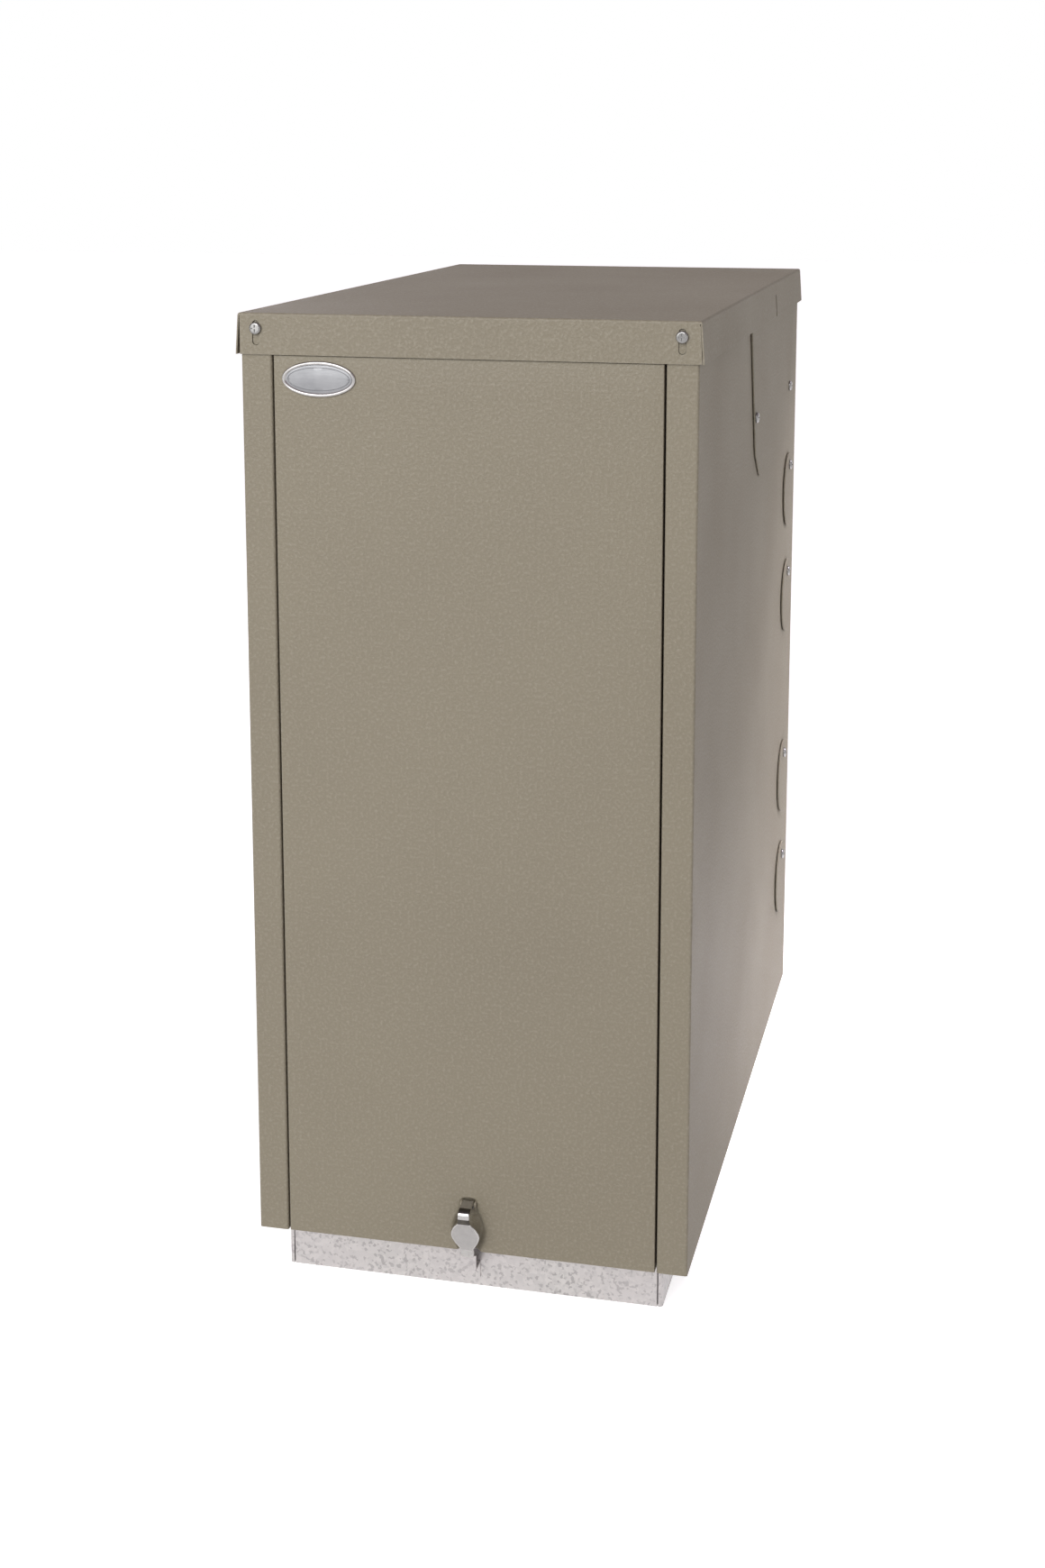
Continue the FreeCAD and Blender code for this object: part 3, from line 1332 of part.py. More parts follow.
# Burner
def make_burner_plate():
    reach = d.burner_plate_half
    span = reach - d.burner_stud_inset
    nut_front = plate_front - d.burner_nut_height
    ends = (plate_front - 1, boiler_front + 1)
    plate = block((-reach, plate_front, burner_z - reach), (reach, boiler_front, burner_z + reach))
    tools = [rod("y", (0, burner_z), d.blast_radius + d.fit_gap, *ends)]
    nuts = []
    for x in (-span, span):
        for z in (burner_z - span, burner_z + span):
            tools.append(rod("y", (x, z), d.burner_stud_radius + d.fit_gap, *ends))
            nut = hexagon("y", (x, z), d.burner_nut_radius, nut_front, plate_front)
            stud = rod("y", (x, z), d.burner_stud_radius, nut_front - d.burner_stud_end, boiler_front)
            nuts.append(fuse(nut, stud))
    finish(cut(plate, *tools), "burner_plate")
    finish(group(*nuts), "burner_plate_nuts")


def make_blast_tube():
    axis = (0, burner_z)
    near = boiler_front - d.blast_front
    far = boiler_front + d.blast_rear
    outer = fuse(
        rod("y", axis, d.blast_radius, near, far),
        rod("y", axis, d.blast_flange, plate_front - d.blast_flange_sheet, plate_front),
    )
    finish(cut(outer, rod("y", axis, d.blast_radius - d.blast_wall, near - 1, far + 1)), "blast_tube")


def make_nozzle():
    axis = (0, burner_z)
    disc_radius = d.blast_radius - d.blast_wall - d.fit_gap
    disc_y = boiler_front + d.disc_reach
    disc_ends = (disc_y - 1, disc_y + d.disc_sheet + 1)
    head = d.nozzle_head_radius
    head_end = disc_y + d.nozzle_head_lead
    probes = [(side * d.electrode_x, burner_z + d.electrode_rise) for side in (-1, 1)]
    disc = cut(
        rod("y", axis, disc_radius, disc_y, disc_y + d.disc_sheet),
        rod("y", axis, head + d.fit_gap, *disc_ends),
        *[rod("y", spot, d.electrode_radius + d.fit_gap, *disc_ends) for spot in probes],
    )
    line = fuse(
        rod("y", axis, d.nozzle_line_radius, boiler_front - d.nozzle_line_reach, disc_y),
        rod("y", axis, head, disc_y - d.nozzle_head_back, head_end),
        cone("y", axis, head, d.nozzle_tip_radius, head_end, head_end + d.nozzle_tip),
    )
    electrodes = []
    for spot in probes:
        ends = (boiler_front - d.electrode_front, disc_y + d.electrode_lead)
        electrodes.append(rod("y", spot, d.electrode_radius, *ends))
    finish(group(line, disc, *electrodes), "nozzle_assembly")


def make_burner_housing():
    axis = (fan_y, burner_z)
    wide = d.drum_half_width
    inner = wide - d.drum_wall
    neck = d.blast_radius + d.fit_gap
    neck_start = fan_y + d.motor_radius + d.neck_clear
    bar = block(
        (inner - 2, fan_y - d.drum_radius, burner_z - d.inlet_bar),
        (wide + 2, fan_y + d.drum_radius, burner_z + d.inlet_bar),
    )
    drum = fuse(
        rod("x", axis, d.drum_radius, -wide, wide),
        rod("y", (0, burner_z), neck + d.drum_wall, neck_start, plate_front - d.blast_flange_sheet),
    )
    tools = [
        rod("x", axis, d.drum_radius - d.drum_wall, -inner, inner),
        rod("y", (0, burner_z), neck, neck_start, plate_front),
        rod("x", axis, d.shaft_radius + d.shaft_clear, -wide - 1, wide + 1),
        cut(rod("x", axis, d.inlet_radius, inner - 1, wide + 1), bar),
    ]
    finish(cut(drum, *tools), "burner_housing")


def make_fan_wheel():
    count = 24
    axis = (fan_y, burner_z)
    plate = d.wheel_plate
    back = d.drum_wall - d.drum_half_width + d.wheel_gap
    ring_back = back + d.wheel_width - plate
    parts = [
        rod("x", axis, d.hub_radius, back, back + d.hub_length),
        rod("x", axis, d.wheel_radius, back, back + plate),
        tube("x", axis, d.wheel_radius, d.wheel_ring, ring_back, ring_back + plate),
    ]
    foot = float(d.wheel_radius - d.blade_height - d.blade_inset)
    for number in range(count):
        blade = doc.addObject("Part::Box", "Blade")
        bind(blade, Length=d.wheel_width - plate, Width=d.blade_sheet, Height=d.blade_height)
        turn = Rotation(Vector(1, 0, 0), 360 * number / count)
        arm = turn.multVec(Vector(0, -float(d.blade_sheet) / 2, foot))
        place(blade, (back + plate / 2, fan_y + arm.y, burner_z + arm.z), turn)
        parts.append(blade)
    bore = rod("x", axis, d.shaft_radius, back - 1, back + d.hub_length + 1)
    shaft_start = d.shaft_end - d.drum_half_width - d.motor_length
    shaft = rod("x", axis, d.shaft_radius, shaft_start, pump_start - 1)
    finish(group(cut(fuse(*parts), bore), shaft), "fan_wheel")


def make_motor_and_pump():
    axis = (fan_y, burner_z)
    near = -d.drum_half_width
    far = near - d.motor_length
    bevel = d.motor_bevel
    motor = fuse(
        rod("x", axis, d.motor_radius, far + bevel, near),
        cone("x", axis, d.motor_radius - bevel, d.motor_radius, far, far + bevel),
    )
    bore = rod("x", axis, d.shaft_radius + d.run_gap, far + d.shaft_end - 1, near + 1)
    finish(cut(motor, bore), "burner_motor")

    stop = pump_start + d.pump_length
    size = d.pump_half
    port = (d.valve_x, fan_y)
    pump = fuse(
        block((pump_start, fan_y - size, burner_z - size), (stop, fan_y + size, burner_z + size)),
        rod("x", axis, d.pump_collar, d.drum_half_width, pump_start),
        rod("z", port, d.coil_radius, burner_z + size, burner_z + size + d.coil_height),
        hexagon("z", port, d.pump_port, burner_z - size - d.pump_port_height, burner_z - size),
    )
    sleeve = rod("x", axis, d.shaft_radius + d.run_gap, d.drum_half_width - 1, pump_start)
    finish(cut(pump, sleeve), "oil_pump")


def make_control_box():
    low_z = burner_z + d.drum_radius + d.control_box_gap
    low = (d.control_box_left, hood_front + d.control_box_front, low_z)
    high = (d.control_box_right, fan_y + d.control_box_behind, low_z + d.control_box_height)
    spot = ((d.control_box_left + d.control_box_right) / 2, low_z + d.control_box_height / 2)
    button_back = low[1] - d.reset_travel
    socket = rod("y", spot, d.reset_stem_radius + d.run_gap, low[1] - 1, low[1] + d.reset_socket)
    finish(cut(block(low, high), socket), "burner_control_box")
    button = fuse(
        rod("y", spot, d.reset_radius, hood_front - d.reset_reach, button_back),
        rod("y", spot, d.reset_stem_radius, button_back - 1, low[1] + d.reset_stem),
    )
    finish(button, "burner_reset_button")
    return spot


def make_hood(button_spot):
    wide = hood_half
    low_z = burner_z - d.hood_below
    high_z = burner_z + d.hood_above
    back = plate_front - d.fit_gap
    skin = d.hood_sheet

    def shell(inset, far):
        corners = [
            (-wide + inset, low_z + inset),
            (wide - inset, low_z + inset),
            (wide - inset, high_z - inset),
            (-wide + inset, high_z - inset),
        ]
        body = prism("xz", corners, hood_front + inset, far)
        depth = Vector(0, 1, 0)
        round_edges(body, d.hood_round - inset, lambda edge: runs_along(edge, depth))
        return round_edges(body, d.hood_round / 2 - inset, lambda edge: lies_at(edge, "y", hood_front + inset))

    tools = [
        shell(skin, back + 1),
        rod("y", button_spot, d.reset_radius + d.reset_clear, hood_front - 1, hood_front + skin + 1),
        rod("z", (d.valve_x, fan_y), d.oil_pipe_radius + d.oil_pipe_clear, low_z - 1, low_z + skin + 1),
    ]
    for number in range(6):
        z = burner_z - d.louvre_drop + d.louvre_pitch * number
        tools.append(
            block(
                (-d.louvre_left, hood_front - 1, z),
                (d.louvre_right, hood_front + skin + 1, z + d.louvre_height),
            )
        )
    finish(cut(shell(0, back), *tools), "burner_hood")


# Oil supply
def make_oil_supply():
    far = fan_y - d.oil_pipe_run
    near = far - d.valve_length
    middle = near + d.valve_length / 2
    axis_z = floor + d.valve_rise
    axis = (d.valve_x, axis_z)
    stem = (d.valve_x, middle)
    neck_top = axis_z + d.valve_radius + d.valve_neck_rise
    stem_top = neck_top + d.valve_stem_rise
    foot = d.valve_foot_half
    body = fuse(
        rod("y", axis, d.valve_radius, near + d.valve_nut, far - d.valve_nut),
        hexagon("y", axis, d.valve_radius, near, near + d.valve_nut),
        hexagon("y", axis, d.valve_radius - d.valve_nut_step, far - d.valve_nut, far),
        rod("z", stem, d.valve_neck_radius, axis_z, neck_top),
        rod("z", stem, d.valve_stem_radius, axis_z, stem_top),
        block((d.valve_x - foot, middle - foot, pan_top), (d.valve_x + foot, middle + foot, axis_z)),
    )
    finish(body, "oil_valve")
    lever_low = neck_top + d.run_gap
    lever_high = lever_low + d.lever_sheet
    arm = block(
        (d.valve_x - d.lever_half_width, middle, lever_low),
        (d.valve_x + d.lever_half_width, middle + d.lever_length, lever_high),
    )
    lever = cut(
        fuse(rod("z", stem, d.lever_hub_radius, lever_low, lever_high), arm),
        rod("z", stem, d.valve_stem_radius + d.run_gap, lever_low - 1, lever_high + 1),
    )
    finish(lever, "oil_valve_lever")
    port_z = burner_z - d.pump_half - d.pump_port_height
    pipe = bent_pipe(
        [(d.valve_x, far, axis_z), (d.valve_x, fan_y, axis_z), (d.valve_x, fan_y, port_z)],
        d.oil_pipe_radius,
        d.oil_pipe_bend,
        d.oil_pipe_radius - d.pipe_wall,
    )
    finish(pipe, "oil_pipe")


# Control panel
def make_control_panel():
    reach = inside - d.fit_gap
    back = fascia + d.panel_box_depth
    sheet_metal = d.panel_sheet
    box = tray((-reach, fascia, panel_box_low), (reach, back, panel_box_top), sheet_metal, open_high=(0, 1, 0))
    ends = (fascia - 1, fascia + sheet_metal + 1)
    switch_wide = d.switch_half_width + d.fit_gap
    switch_tall = d.switch_half_height + d.switch_swing_gap
    gland_spot = (d.gland_x, fascia + d.gland_setback)
    tools = [
        rod("y", (d.knob_x, fascia_z), d.knob_shaft_radius + d.run_gap, *ends),
        rod("y", (d.limit_x, fascia_z), d.limit_radius + d.run_gap, *ends),
        block(
            (d.switch_x - switch_wide, ends[0], fascia_z - switch_tall),
            (d.switch_x + switch_wide, ends[1], fascia_z + switch_tall),
        ),
        rod("z", gland_spot, d.gland_thread, panel_box_low - 1, panel_box_low + sheet_metal + 1),
    ]
    finish(cut(box, *tools), "control_panel")
    make_gland(gland_spot)


def make_gland(spot):
    nut = d.gland_nut
    foot = panel_box_low - 2 * nut
    thread_top = panel_box_low + d.panel_sheet + nut
    gland = fuse(
        hexagon("z", spot, d.gland_radius, panel_box_low - nut, panel_box_low),
        cone("z", spot, d.gland_thread, d.gland_dome, foot, panel_box_low - nut),
        rod("z", spot, d.gland_thread, panel_box_low - nut, thread_top),
    )
    finish(cut(gland, rod("z", spot, d.gland_bore, foot - 1, thread_top + 1)), "cable_gland")


def make_controls():
    count = 12
    back = fascia - d.knob_gap
    face = back - d.knob_depth
    spot = (d.knob_x, fascia_z)
    grip = rod("y", spot, d.knob_radius, face, back)
    orbit = d.knob_radius + d.flute_outset
    flutes = []
    for number in range(count):
        angle = math.radians(360 * (number + 0.5) / count)
        across = (d.knob_x + orbit * math.sin(angle), fascia_z + orbit * math.cos(angle))
        flutes.append(rod("y", across, d.flute_radius, face - 1, back - d.flute_stop))
    pointer = block(
        (d.knob_x - d.pointer_half, face - 1, fascia_z + d.pointer_start),
        (d.knob_x + d.pointer_half, face + d.pointer_depth, fascia_z + orbit),
    )
    shaft = rod("y", spot, d.knob_shaft_radius, back - 1, fascia + d.knob_shaft_length)
    finish(fuse(cut(grip, *flutes, pointer), shaft), "thermostat_knob")

    tall = d.switch_half_height
    rocker_front = fascia - d.switch_reach
    rocker_back = fascia + d.switch_depth
    rocker = [
        (rocker_back, fascia_z - tall),
        (rocker_back, fascia_z + tall),
        (rocker_front, fascia_z + tall),
        (rocker_front + d.switch_dip, fascia_z),
        (rocker_front, fascia_z - tall),
    ]
    wide = d.switch_half_width
    finish(prism("yz", rocker, d.switch_x - wide, d.switch_x + wide), "power_switch")
    limit_ends = (fascia - d.limit_reach, fascia + d.limit_depth)
    finish(rod("y", (d.limit_x, fascia_z), d.limit_radius, *limit_ends), "limit_reset_button")


# Water and condensate
def make_pipes():
    mouth = rear - d.fitting_setback
    back = mouth - d.fitting_length
    first_nut = back + d.fitting_nut_inset
    last_nut = mouth - d.fitting_nut_inset
    for label, z in (("flow_pipe", flow_z), ("return_pipe", return_z)):
        axis = (pipe_x, z)
        solid = fuse(
            rod("y", axis, d.pipe_radius, condenser_rear, mouth),
            rod("y", axis, d.fitting_radius, back, mouth),
            hexagon("y", axis, d.fitting_nut, first_nut, first_nut + d.fitting_nut_length),
            hexagon("y", axis, d.fitting_nut, last_nut - d.fitting_nut_length, last_nut),
        )
        tools = [
            rod("y", axis, d.pipe_radius - d.pipe_wall, condenser_rear - 1, mouth + 1),
            rod("y", axis, d.pipe_radius + d.run_gap, mouth - d.fitting_socket, mouth + 1),
        ]
        finish(cut(solid, *tools), label)


def make_drain_cock():
    cock_x = d.cock_inset - boiler_half
    cock_z = boiler_bottom + d.cock_rise
    axis = (cock_x, cock_z)
    mouth = boiler_front - d.cock_length
    end = mouth - d.cock_spout
    nut_back = boiler_front - d.cock_nut_gap
    key = block(
        (cock_x - d.cock_key_half, mouth, cock_z),
        (cock_x + d.cock_key_half, mouth + 2 * d.cock_key_half, cock_z + d.cock_key_rise),
    )
    cock = fuse(
        rod("y", axis, d.cock_radius, mouth, boiler_front),
        hexagon("y", axis, d.cock_radius + 1, nut_back - d.cock_nut, nut_back),
        rod("y", axis, d.cock_radius - 2, end, mouth),
        key,
    )
    finish(cut(cock, rod("y", axis, d.cock_bore, end - 1, nut_back)), "drain_cock")


def make_condensate():
    radius = d.trap_radius
    cap = radius + d.trap_cap
    middle = (cap + d.trap_side_gap - inside, rear - d.trap_rear)
    high = d.trap_height
    cap_foot = high - d.trap_cap_height
    pipe_z = floor + d.trap_pipe_rise
    spout = d.drain_radius + d.drain_wall
    wall_x = middle[0] + radius
    spout_end = wall_x + d.trap_spout
    body = turned(
        [
            (0, 0),
            (radius - d.trap_bevel, 0),
            (radius, d.trap_bevel),
            (radius, cap_foot),
            (cap, cap_foot),
            (cap, high - d.trap_cap),
            (radius, high),
            (0, high),
        ],
        "z",
        (middle[0], middle[1], pan_top),
    )
    inner = rod("z", middle, radius - d.trap_wall, pan_top + d.trap_wall, pan_top + high - d.trap_wall)
    inlet = rod("x", (middle[1], pipe_z), spout, wall_x - d.trap_wall, spout_end)
    bore = rod("x", (middle[1], pipe_z), d.drain_radius, wall_x - 2 * d.trap_wall, spout_end + 1)
    finish(cut(fuse(body, inlet), inner, bore), "condensate_trap")
    points = [
        (-d.drain_x, drain_end - d.trap_lap, pipe_z),
        (-d.drain_x, middle[1], pipe_z),
        (spout_end - d.trap_lap, middle[1], pipe_z),
    ]
    bore_radius = spout + d.run_gap
    finish(bent_pipe(points, bore_radius + d.trap_pipe_wall, d.trap_pipe_bend, bore_radius), "condensate_pipe")


make_plinth()
make_base_pan()
make_side_panels()
make_flue_plates()
make_pipe_covers()
make_screws()
make_rear_panel()
make_top_rail()
make_lid()
make_front_panel()
make_badge()
make_latch()
make_keeper()
make_shell()
make_condenser()
make_insulation()
make_baffles()
make_cleaning_cover()
make_flue_elbow()
make_burner_plate()
make_blast_tube()
make_nozzle()
make_burner_housing()
make_fan_wheel()
make_motor_and_pump()
make_hood(make_control_box())
make_oil_supply()
make_control_panel()
make_controls()
make_pipes()
make_drain_cock()
make_condensate()
doc.recompute()

# Checks and export
for thing in doc.Objects:
    if "Invalid" in thing.State or "Error" in thing.State:
        raise RuntimeError(f"{thing.Label} did not build")
os.makedirs("parts", exist_ok=True)
for piece in pieces:
    if piece.Shape.isNull() or not piece.Shape.isValid():
        raise RuntimeError(f"{piece.Label} has no valid shape")
    piece.Shape.exportStep(f"parts/{piece.Label}.step")
print(len(pieces), "pieces written")
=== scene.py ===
import json
import math
import bpy
import bmesh
import numpy as np
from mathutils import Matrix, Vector, noise


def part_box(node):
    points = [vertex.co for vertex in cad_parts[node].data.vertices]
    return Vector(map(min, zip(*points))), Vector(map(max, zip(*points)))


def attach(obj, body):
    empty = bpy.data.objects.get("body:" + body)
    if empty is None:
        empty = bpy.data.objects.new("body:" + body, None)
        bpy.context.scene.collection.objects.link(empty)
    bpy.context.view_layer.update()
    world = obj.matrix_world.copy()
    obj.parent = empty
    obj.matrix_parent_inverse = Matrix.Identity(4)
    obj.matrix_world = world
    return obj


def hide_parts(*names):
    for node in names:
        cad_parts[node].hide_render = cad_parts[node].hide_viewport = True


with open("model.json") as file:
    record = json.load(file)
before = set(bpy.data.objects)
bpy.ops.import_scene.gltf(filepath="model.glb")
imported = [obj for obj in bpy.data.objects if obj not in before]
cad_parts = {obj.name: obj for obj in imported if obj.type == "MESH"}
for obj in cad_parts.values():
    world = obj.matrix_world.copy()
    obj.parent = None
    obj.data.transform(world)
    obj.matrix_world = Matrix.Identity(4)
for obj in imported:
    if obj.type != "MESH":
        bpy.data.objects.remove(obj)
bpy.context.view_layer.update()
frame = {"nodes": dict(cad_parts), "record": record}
scene = bpy.context.scene
scene.view_settings.view_transform = "Standard"
cadNodes = frame["nodes"]
slotOf = {part["node"]: part["material_slot"] for part in frame["record"]["subparts"]}
print("frame loaded:", len(cadNodes), "CAD nodes")

# camera: seen from the right and above, framed low
shot = dict(place=(0.4603, -2.1041, 1.0116), turnLeft=13.27, tiltDown=9.87, lens=50.45, lower=-0.17)
cameraData = bpy.data.cameras.new("photoCamera")
cameraData.sensor_width = 36
cameraData.lens = shot["lens"]
cameraData.shift_y = shot["lower"]
camera = bpy.data.objects.new("photoCamera", cameraData)
camera.location = shot["place"]
camera.rotation_euler = (math.radians(90 - shot["tiltDown"]), 0, math.radians(shot["turnLeft"]))
scene.collection.objects.link(camera)
scene.camera = camera
print("camera set")

# studio: white floor, sky that dims upwards, a soft key, two softboxes in front,
# one at the left rear, and a wash on the floor at the right
studio = dict(
    floorHalf=16, floorColour=(0.86, 0.86, 0.86), floorLift=0.62,
    skyLow=(1, 1, 1), skyHigh=(0.46, 0.4, 0.44), skyFade=(0.07, 0.45), ambient=0.6,
    keyFrom=(-0.15, -1.9, 1.15), keyPower=1.1, keySoft=35,
    lamps=dict(
        softbox=dict(place=(-1.1, -2.3, 1.7), aim=(0, -0.3, 0.5), size=1.6, power=18, spread=180),
        sheenBox=dict(place=(-0.8, -2.3, 0.95), aim=(-0.1, -0.36, 0.8), size=0.7, power=2.4, spread=180),
        backBox=dict(place=(-1.9, 2.1, 1.6), aim=(0, 0.1, 0.5), size=1.6, power=15, spread=180, tint=(0.96, 0.92, 1)),
        floorWash=dict(place=(0.6, 0.4, 0.9), aim=(0.5, 0.35, 0), size=0.6, power=3.1, spread=80, tint=(0.96, 0.91, 1)),
    ),
)


def addNode(tree, kind, links=(), **values):
    node = tree.nodes.new(kind)
    for key, value in values.items():
        if key in node.inputs:
            node.inputs[key].default_value = value
        else:
            setattr(node, key, value)
    for source, target in links:
        tree.links.new(source, node.inputs[target])
    return node


def seenRays(tree):  # camera, mirror and glass rays
    path = addNode(tree, "ShaderNodeLightPath")
    seen = path.outputs["Is Camera Ray"]
    for ray in ("Is Glossy Ray", "Is Transmission Ray"):
        seen = addNode(tree, "ShaderNodeMath", [(seen, 0), (path.outputs[ray], 1)], operation="MAXIMUM").outputs[0]
    return seen


def makeStudio():
    world = bpy.data.worlds.new("studioSky")
    world.use_nodes = True
    scene.world = world
    tree = world.node_tree
    tree.nodes.clear()
    coords = addNode(tree, "ShaderNodeTexCoord").outputs["Generated"]
    height = addNode(tree, "ShaderNodeSeparateXYZ", [(coords, 0)]).outputs["Z"]
    fade = addNode(tree, "ShaderNodeMapRange", [(height, "Value")], interpolation_type="SMOOTHSTEP")
    fade.inputs["From Min"].default_value, fade.inputs["From Max"].default_value = studio["skyFade"]
    tint = addNode(tree, "ShaderNodeMix", [(fade.outputs[0], 0)], data_type="RGBA")
    tint.inputs[6].default_value = (*studio["skyLow"], 1)
    tint.inputs[7].default_value = (*studio["skyHigh"], 1)
    level = addNode(tree, "ShaderNodeMapRange", [(seenRays(tree), "Value")])
    level.inputs["To Min"].default_value = studio["ambient"]
    level.inputs["To Max"].default_value = 1
    sky = addNode(tree, "ShaderNodeBackground", [(tint.outputs[2], "Color"), (level.outputs[0], "Strength")])
    addNode(tree, "ShaderNodeOutputWorld", [(sky.outputs[0], 0)])

    half = studio["floorHalf"]
    mesh = bpy.data.meshes.new("studioFloor")
    mesh.from_pydata([(-half, -half, 0), (half, -half, 0), (half, half, 0), (-half, half, 0)], [], [(0, 1, 2, 3)])
    floor = bpy.data.objects.new("studioFloor", mesh)
    scene.collection.objects.link(floor)
    paper = bpy.data.materials.new("studioPaper")
    paper.use_nodes = True
    tree = paper.node_tree
    tree.nodes.clear()
    matt = addNode(tree, "ShaderNodeBsdfDiffuse", Color=(*studio["floorColour"], 1))
    lift = addNode(tree, "ShaderNodeMapRange", [(seenRays(tree), "Value")])
    lift.inputs["To Max"].default_value = studio["floorLift"]
    glow = addNode(tree, "ShaderNodeEmission", [(lift.outputs[0], "Strength")])
    both = addNode(tree, "ShaderNodeAddShader", [(matt.outputs[0], 0), (glow.outputs[0], 1)])
    addNode(tree, "ShaderNodeOutputMaterial", [(both.outputs[0], 0)])
    mesh.materials.append(paper)

    sun = bpy.data.lights.new("keyLight", "SUN")
    sun.energy = studio["keyPower"]
    sun.angle = math.radians(studio["keySoft"])
    key = bpy.data.objects.new("keyLight", sun)
    key.rotation_euler = Vector(studio["keyFrom"]).to_track_quat("Z", "Y").to_euler()
    scene.collection.objects.link(key)
    for name, lamp in studio["lamps"].items():
        panel = bpy.data.lights.new(name, "AREA")
        panel.energy = lamp["power"]
        panel.size = lamp["size"]
        panel.color = lamp.get("tint", (1, 1, 1))
        panel.spread = math.radians(lamp["spread"])
        box = bpy.data.objects.new(name, panel)
        box.location = lamp["place"]
        box.rotation_euler = (Vector(lamp["place"]) - Vector(lamp["aim"])).to_track_quat("Z", "Y").to_euler()
        scene.collection.objects.link(box)


makeStudio()
print("studio lit")


# finishes, one recipe each, all in metres of the part itself
def startFinish(name):
    mat = bpy.data.materials.new(name)
    mat.use_nodes = True
    tree = mat.node_tree
    coords = addNode(tree, "ShaderNodeTexCoord").outputs["Object"]
    return mat, tree, tree.nodes["Principled BSDF"], coords


def grain(tree, coords, scale, detail=2, stretch=None):
    if stretch:
        coords = addNode(tree, "ShaderNodeMapping", [(coords, "Vector")], Scale=stretch).outputs[0]
    node = addNode(tree, "ShaderNodeTexNoise", [(coords, "Vector")], Scale=scale, Detail=detail)
    return node.outputs["Fac"]


def cellColour(tree, coords, scale):
    node = addNode(tree, "ShaderNodeTexVoronoi", [(coords, "Vector")], Scale=scale)
    return addNode(tree, "ShaderNodeSeparateColor", [(node.outputs["Color"], 0)]).outputs


def spread(tree, source, low, high, start=0.3, stop=0.7):
    node = addNode(tree, "ShaderNodeMapRange", [(source, "Value")])
    for key, value in (("From Min", start), ("From Max", stop), ("To Min", low), ("To Max", high)):
        node.inputs[key].default_value = value
    return node.outputs[0]


def tintBetween(tree, mask, first, second):
    node = addNode(tree, "ShaderNodeMix", [(mask, 0)], data_type="RGBA")
    for slot, colour in ((6, first), (7, second)):
        if isinstance(colour, tuple):
            node.inputs[slot].default_value = (*colour, 1)
        else:
            tree.links.new(colour, node.inputs[slot])
    return node.outputs[2]


def relief(tree, shader, layers):
    normal = None
    for height, depth in layers:
        node = addNode(tree, "ShaderNodeBump", [(height, "Height")], Distance=depth)
        if normal:
            tree.links.new(normal, node.inputs["Normal"])
        normal = node.outputs[0]
    tree.links.new(normal, shader.inputs["Normal"])


def edgeMask(tree, radius, low, high, breakUp):  # 0 on flat faces, up to high on lightened edges, which stand for wear and for a painted edge highlight
    bevel = addNode(tree, "ShaderNodeBevel", samples=4, Radius=radius)
    flat = addNode(tree, "ShaderNodeNewGeometry").outputs["Normal"]
    turn = addNode(tree, "ShaderNodeVectorMath", [(bevel.outputs[0], 0), (flat, 1)], operation="DOT_PRODUCT")
    edge = spread(tree, turn.outputs["Value"], high, 0, low, 0.995)
    return addNode(tree, "ShaderNodeMath", [(edge, 0), (breakUp, 1)], operation="MULTIPLY").outputs[0]


def painted(name, look):  # powder coat and heat paint
    mat, tree, shader, coords = startFinish(name)
    shader.inputs["Specular IOR Level"].default_value = look.get("gloss", 0.5)
    cloud = grain(tree, coords, look["cloudScale"], 3)
    peel = grain(tree, coords, look["peelScale"], 2)
    colour = tintBetween(tree, spread(tree, cloud, 0, 1), look["colour"], look["shade"])
    # painted sheen: crests of the orange peel are mixed towards the light tone, as if they caught the lamps
    colour = tintBetween(tree, spread(tree, peel, 0, look["peelSheen"], 0.48, 0.74), colour, look["light"])
    # lightened edges: wear on the edges, and a painted edge highlight where folds would catch the light
    if look.get("edgeWearAndSheen"):
        edgeBreakUp = spread(tree, grain(tree, coords, look["edgeBreakScale"], 4), 0.3, 1, 0.42, 0.62)
        wornAndLitEdges = edgeMask(tree, look["edgeBandWidth"], 0.7, look["edgeWearAndSheen"], edgeBreakUp)
        colour = tintBetween(tree, wornAndLitEdges, colour, look["light"])
    tree.links.new(colour, shader.inputs["Base Color"])
    rough = spread(tree, cloud, *look["rough"])
    if look.get("frontSmooth"):  # front sheets are coated smoother than the sides and top
        normal = addNode(tree, "ShaderNodeTexCoord").outputs["Normal"]
        facing = addNode(tree, "ShaderNodeSeparateXYZ", [(normal, 0)]).outputs["Y"]
        smoother = spread(tree, facing, look["frontSmooth"], 0, -0.95, -0.6)
        rough = addNode(tree, "ShaderNodeMath", [(rough, 0), (smoother, 1)], operation="ADD").outputs[0]
    tree.links.new(rough, shader.inputs["Roughness"])
    finePeel = grain(tree, coords, look["peelScale"] * 3.1, 1)
    relief(tree, shader, [(peel, look["peelDepth"]), (finePeel, look["peelDepth"] * 0.3)])
    return mat


def bareMetal(name, look):  # drawn, rolled, machined and plated metal
    mat, tree, shader, coords = startFinish(name)
    shader.inputs["Metallic"].default_value = 1
    cloud = grain(tree, coords, look["cloudScale"], 3)
    lines = grain(tree, coords, look["lineScale"], 2, look.get("stretch"))
    colour = tintBetween(tree, spread(tree, cloud, 0, 1), look["colour"], look["shade"])
    if look.get("stain"):
        spots = spread(tree, grain(tree, coords, look["stainScale"], 5), 0, look["stainMost"], 0.52, 0.7)
        colour = tintBetween(tree, spots, colour, look["stain"])
    tree.links.new(colour, shader.inputs["Base Color"])
    tree.links.new(spread(tree, lines, *look["rough"]), shader.inputs["Roughness"])
    relief(tree, shader, [(lines, look["lineDepth"])])
    return mat


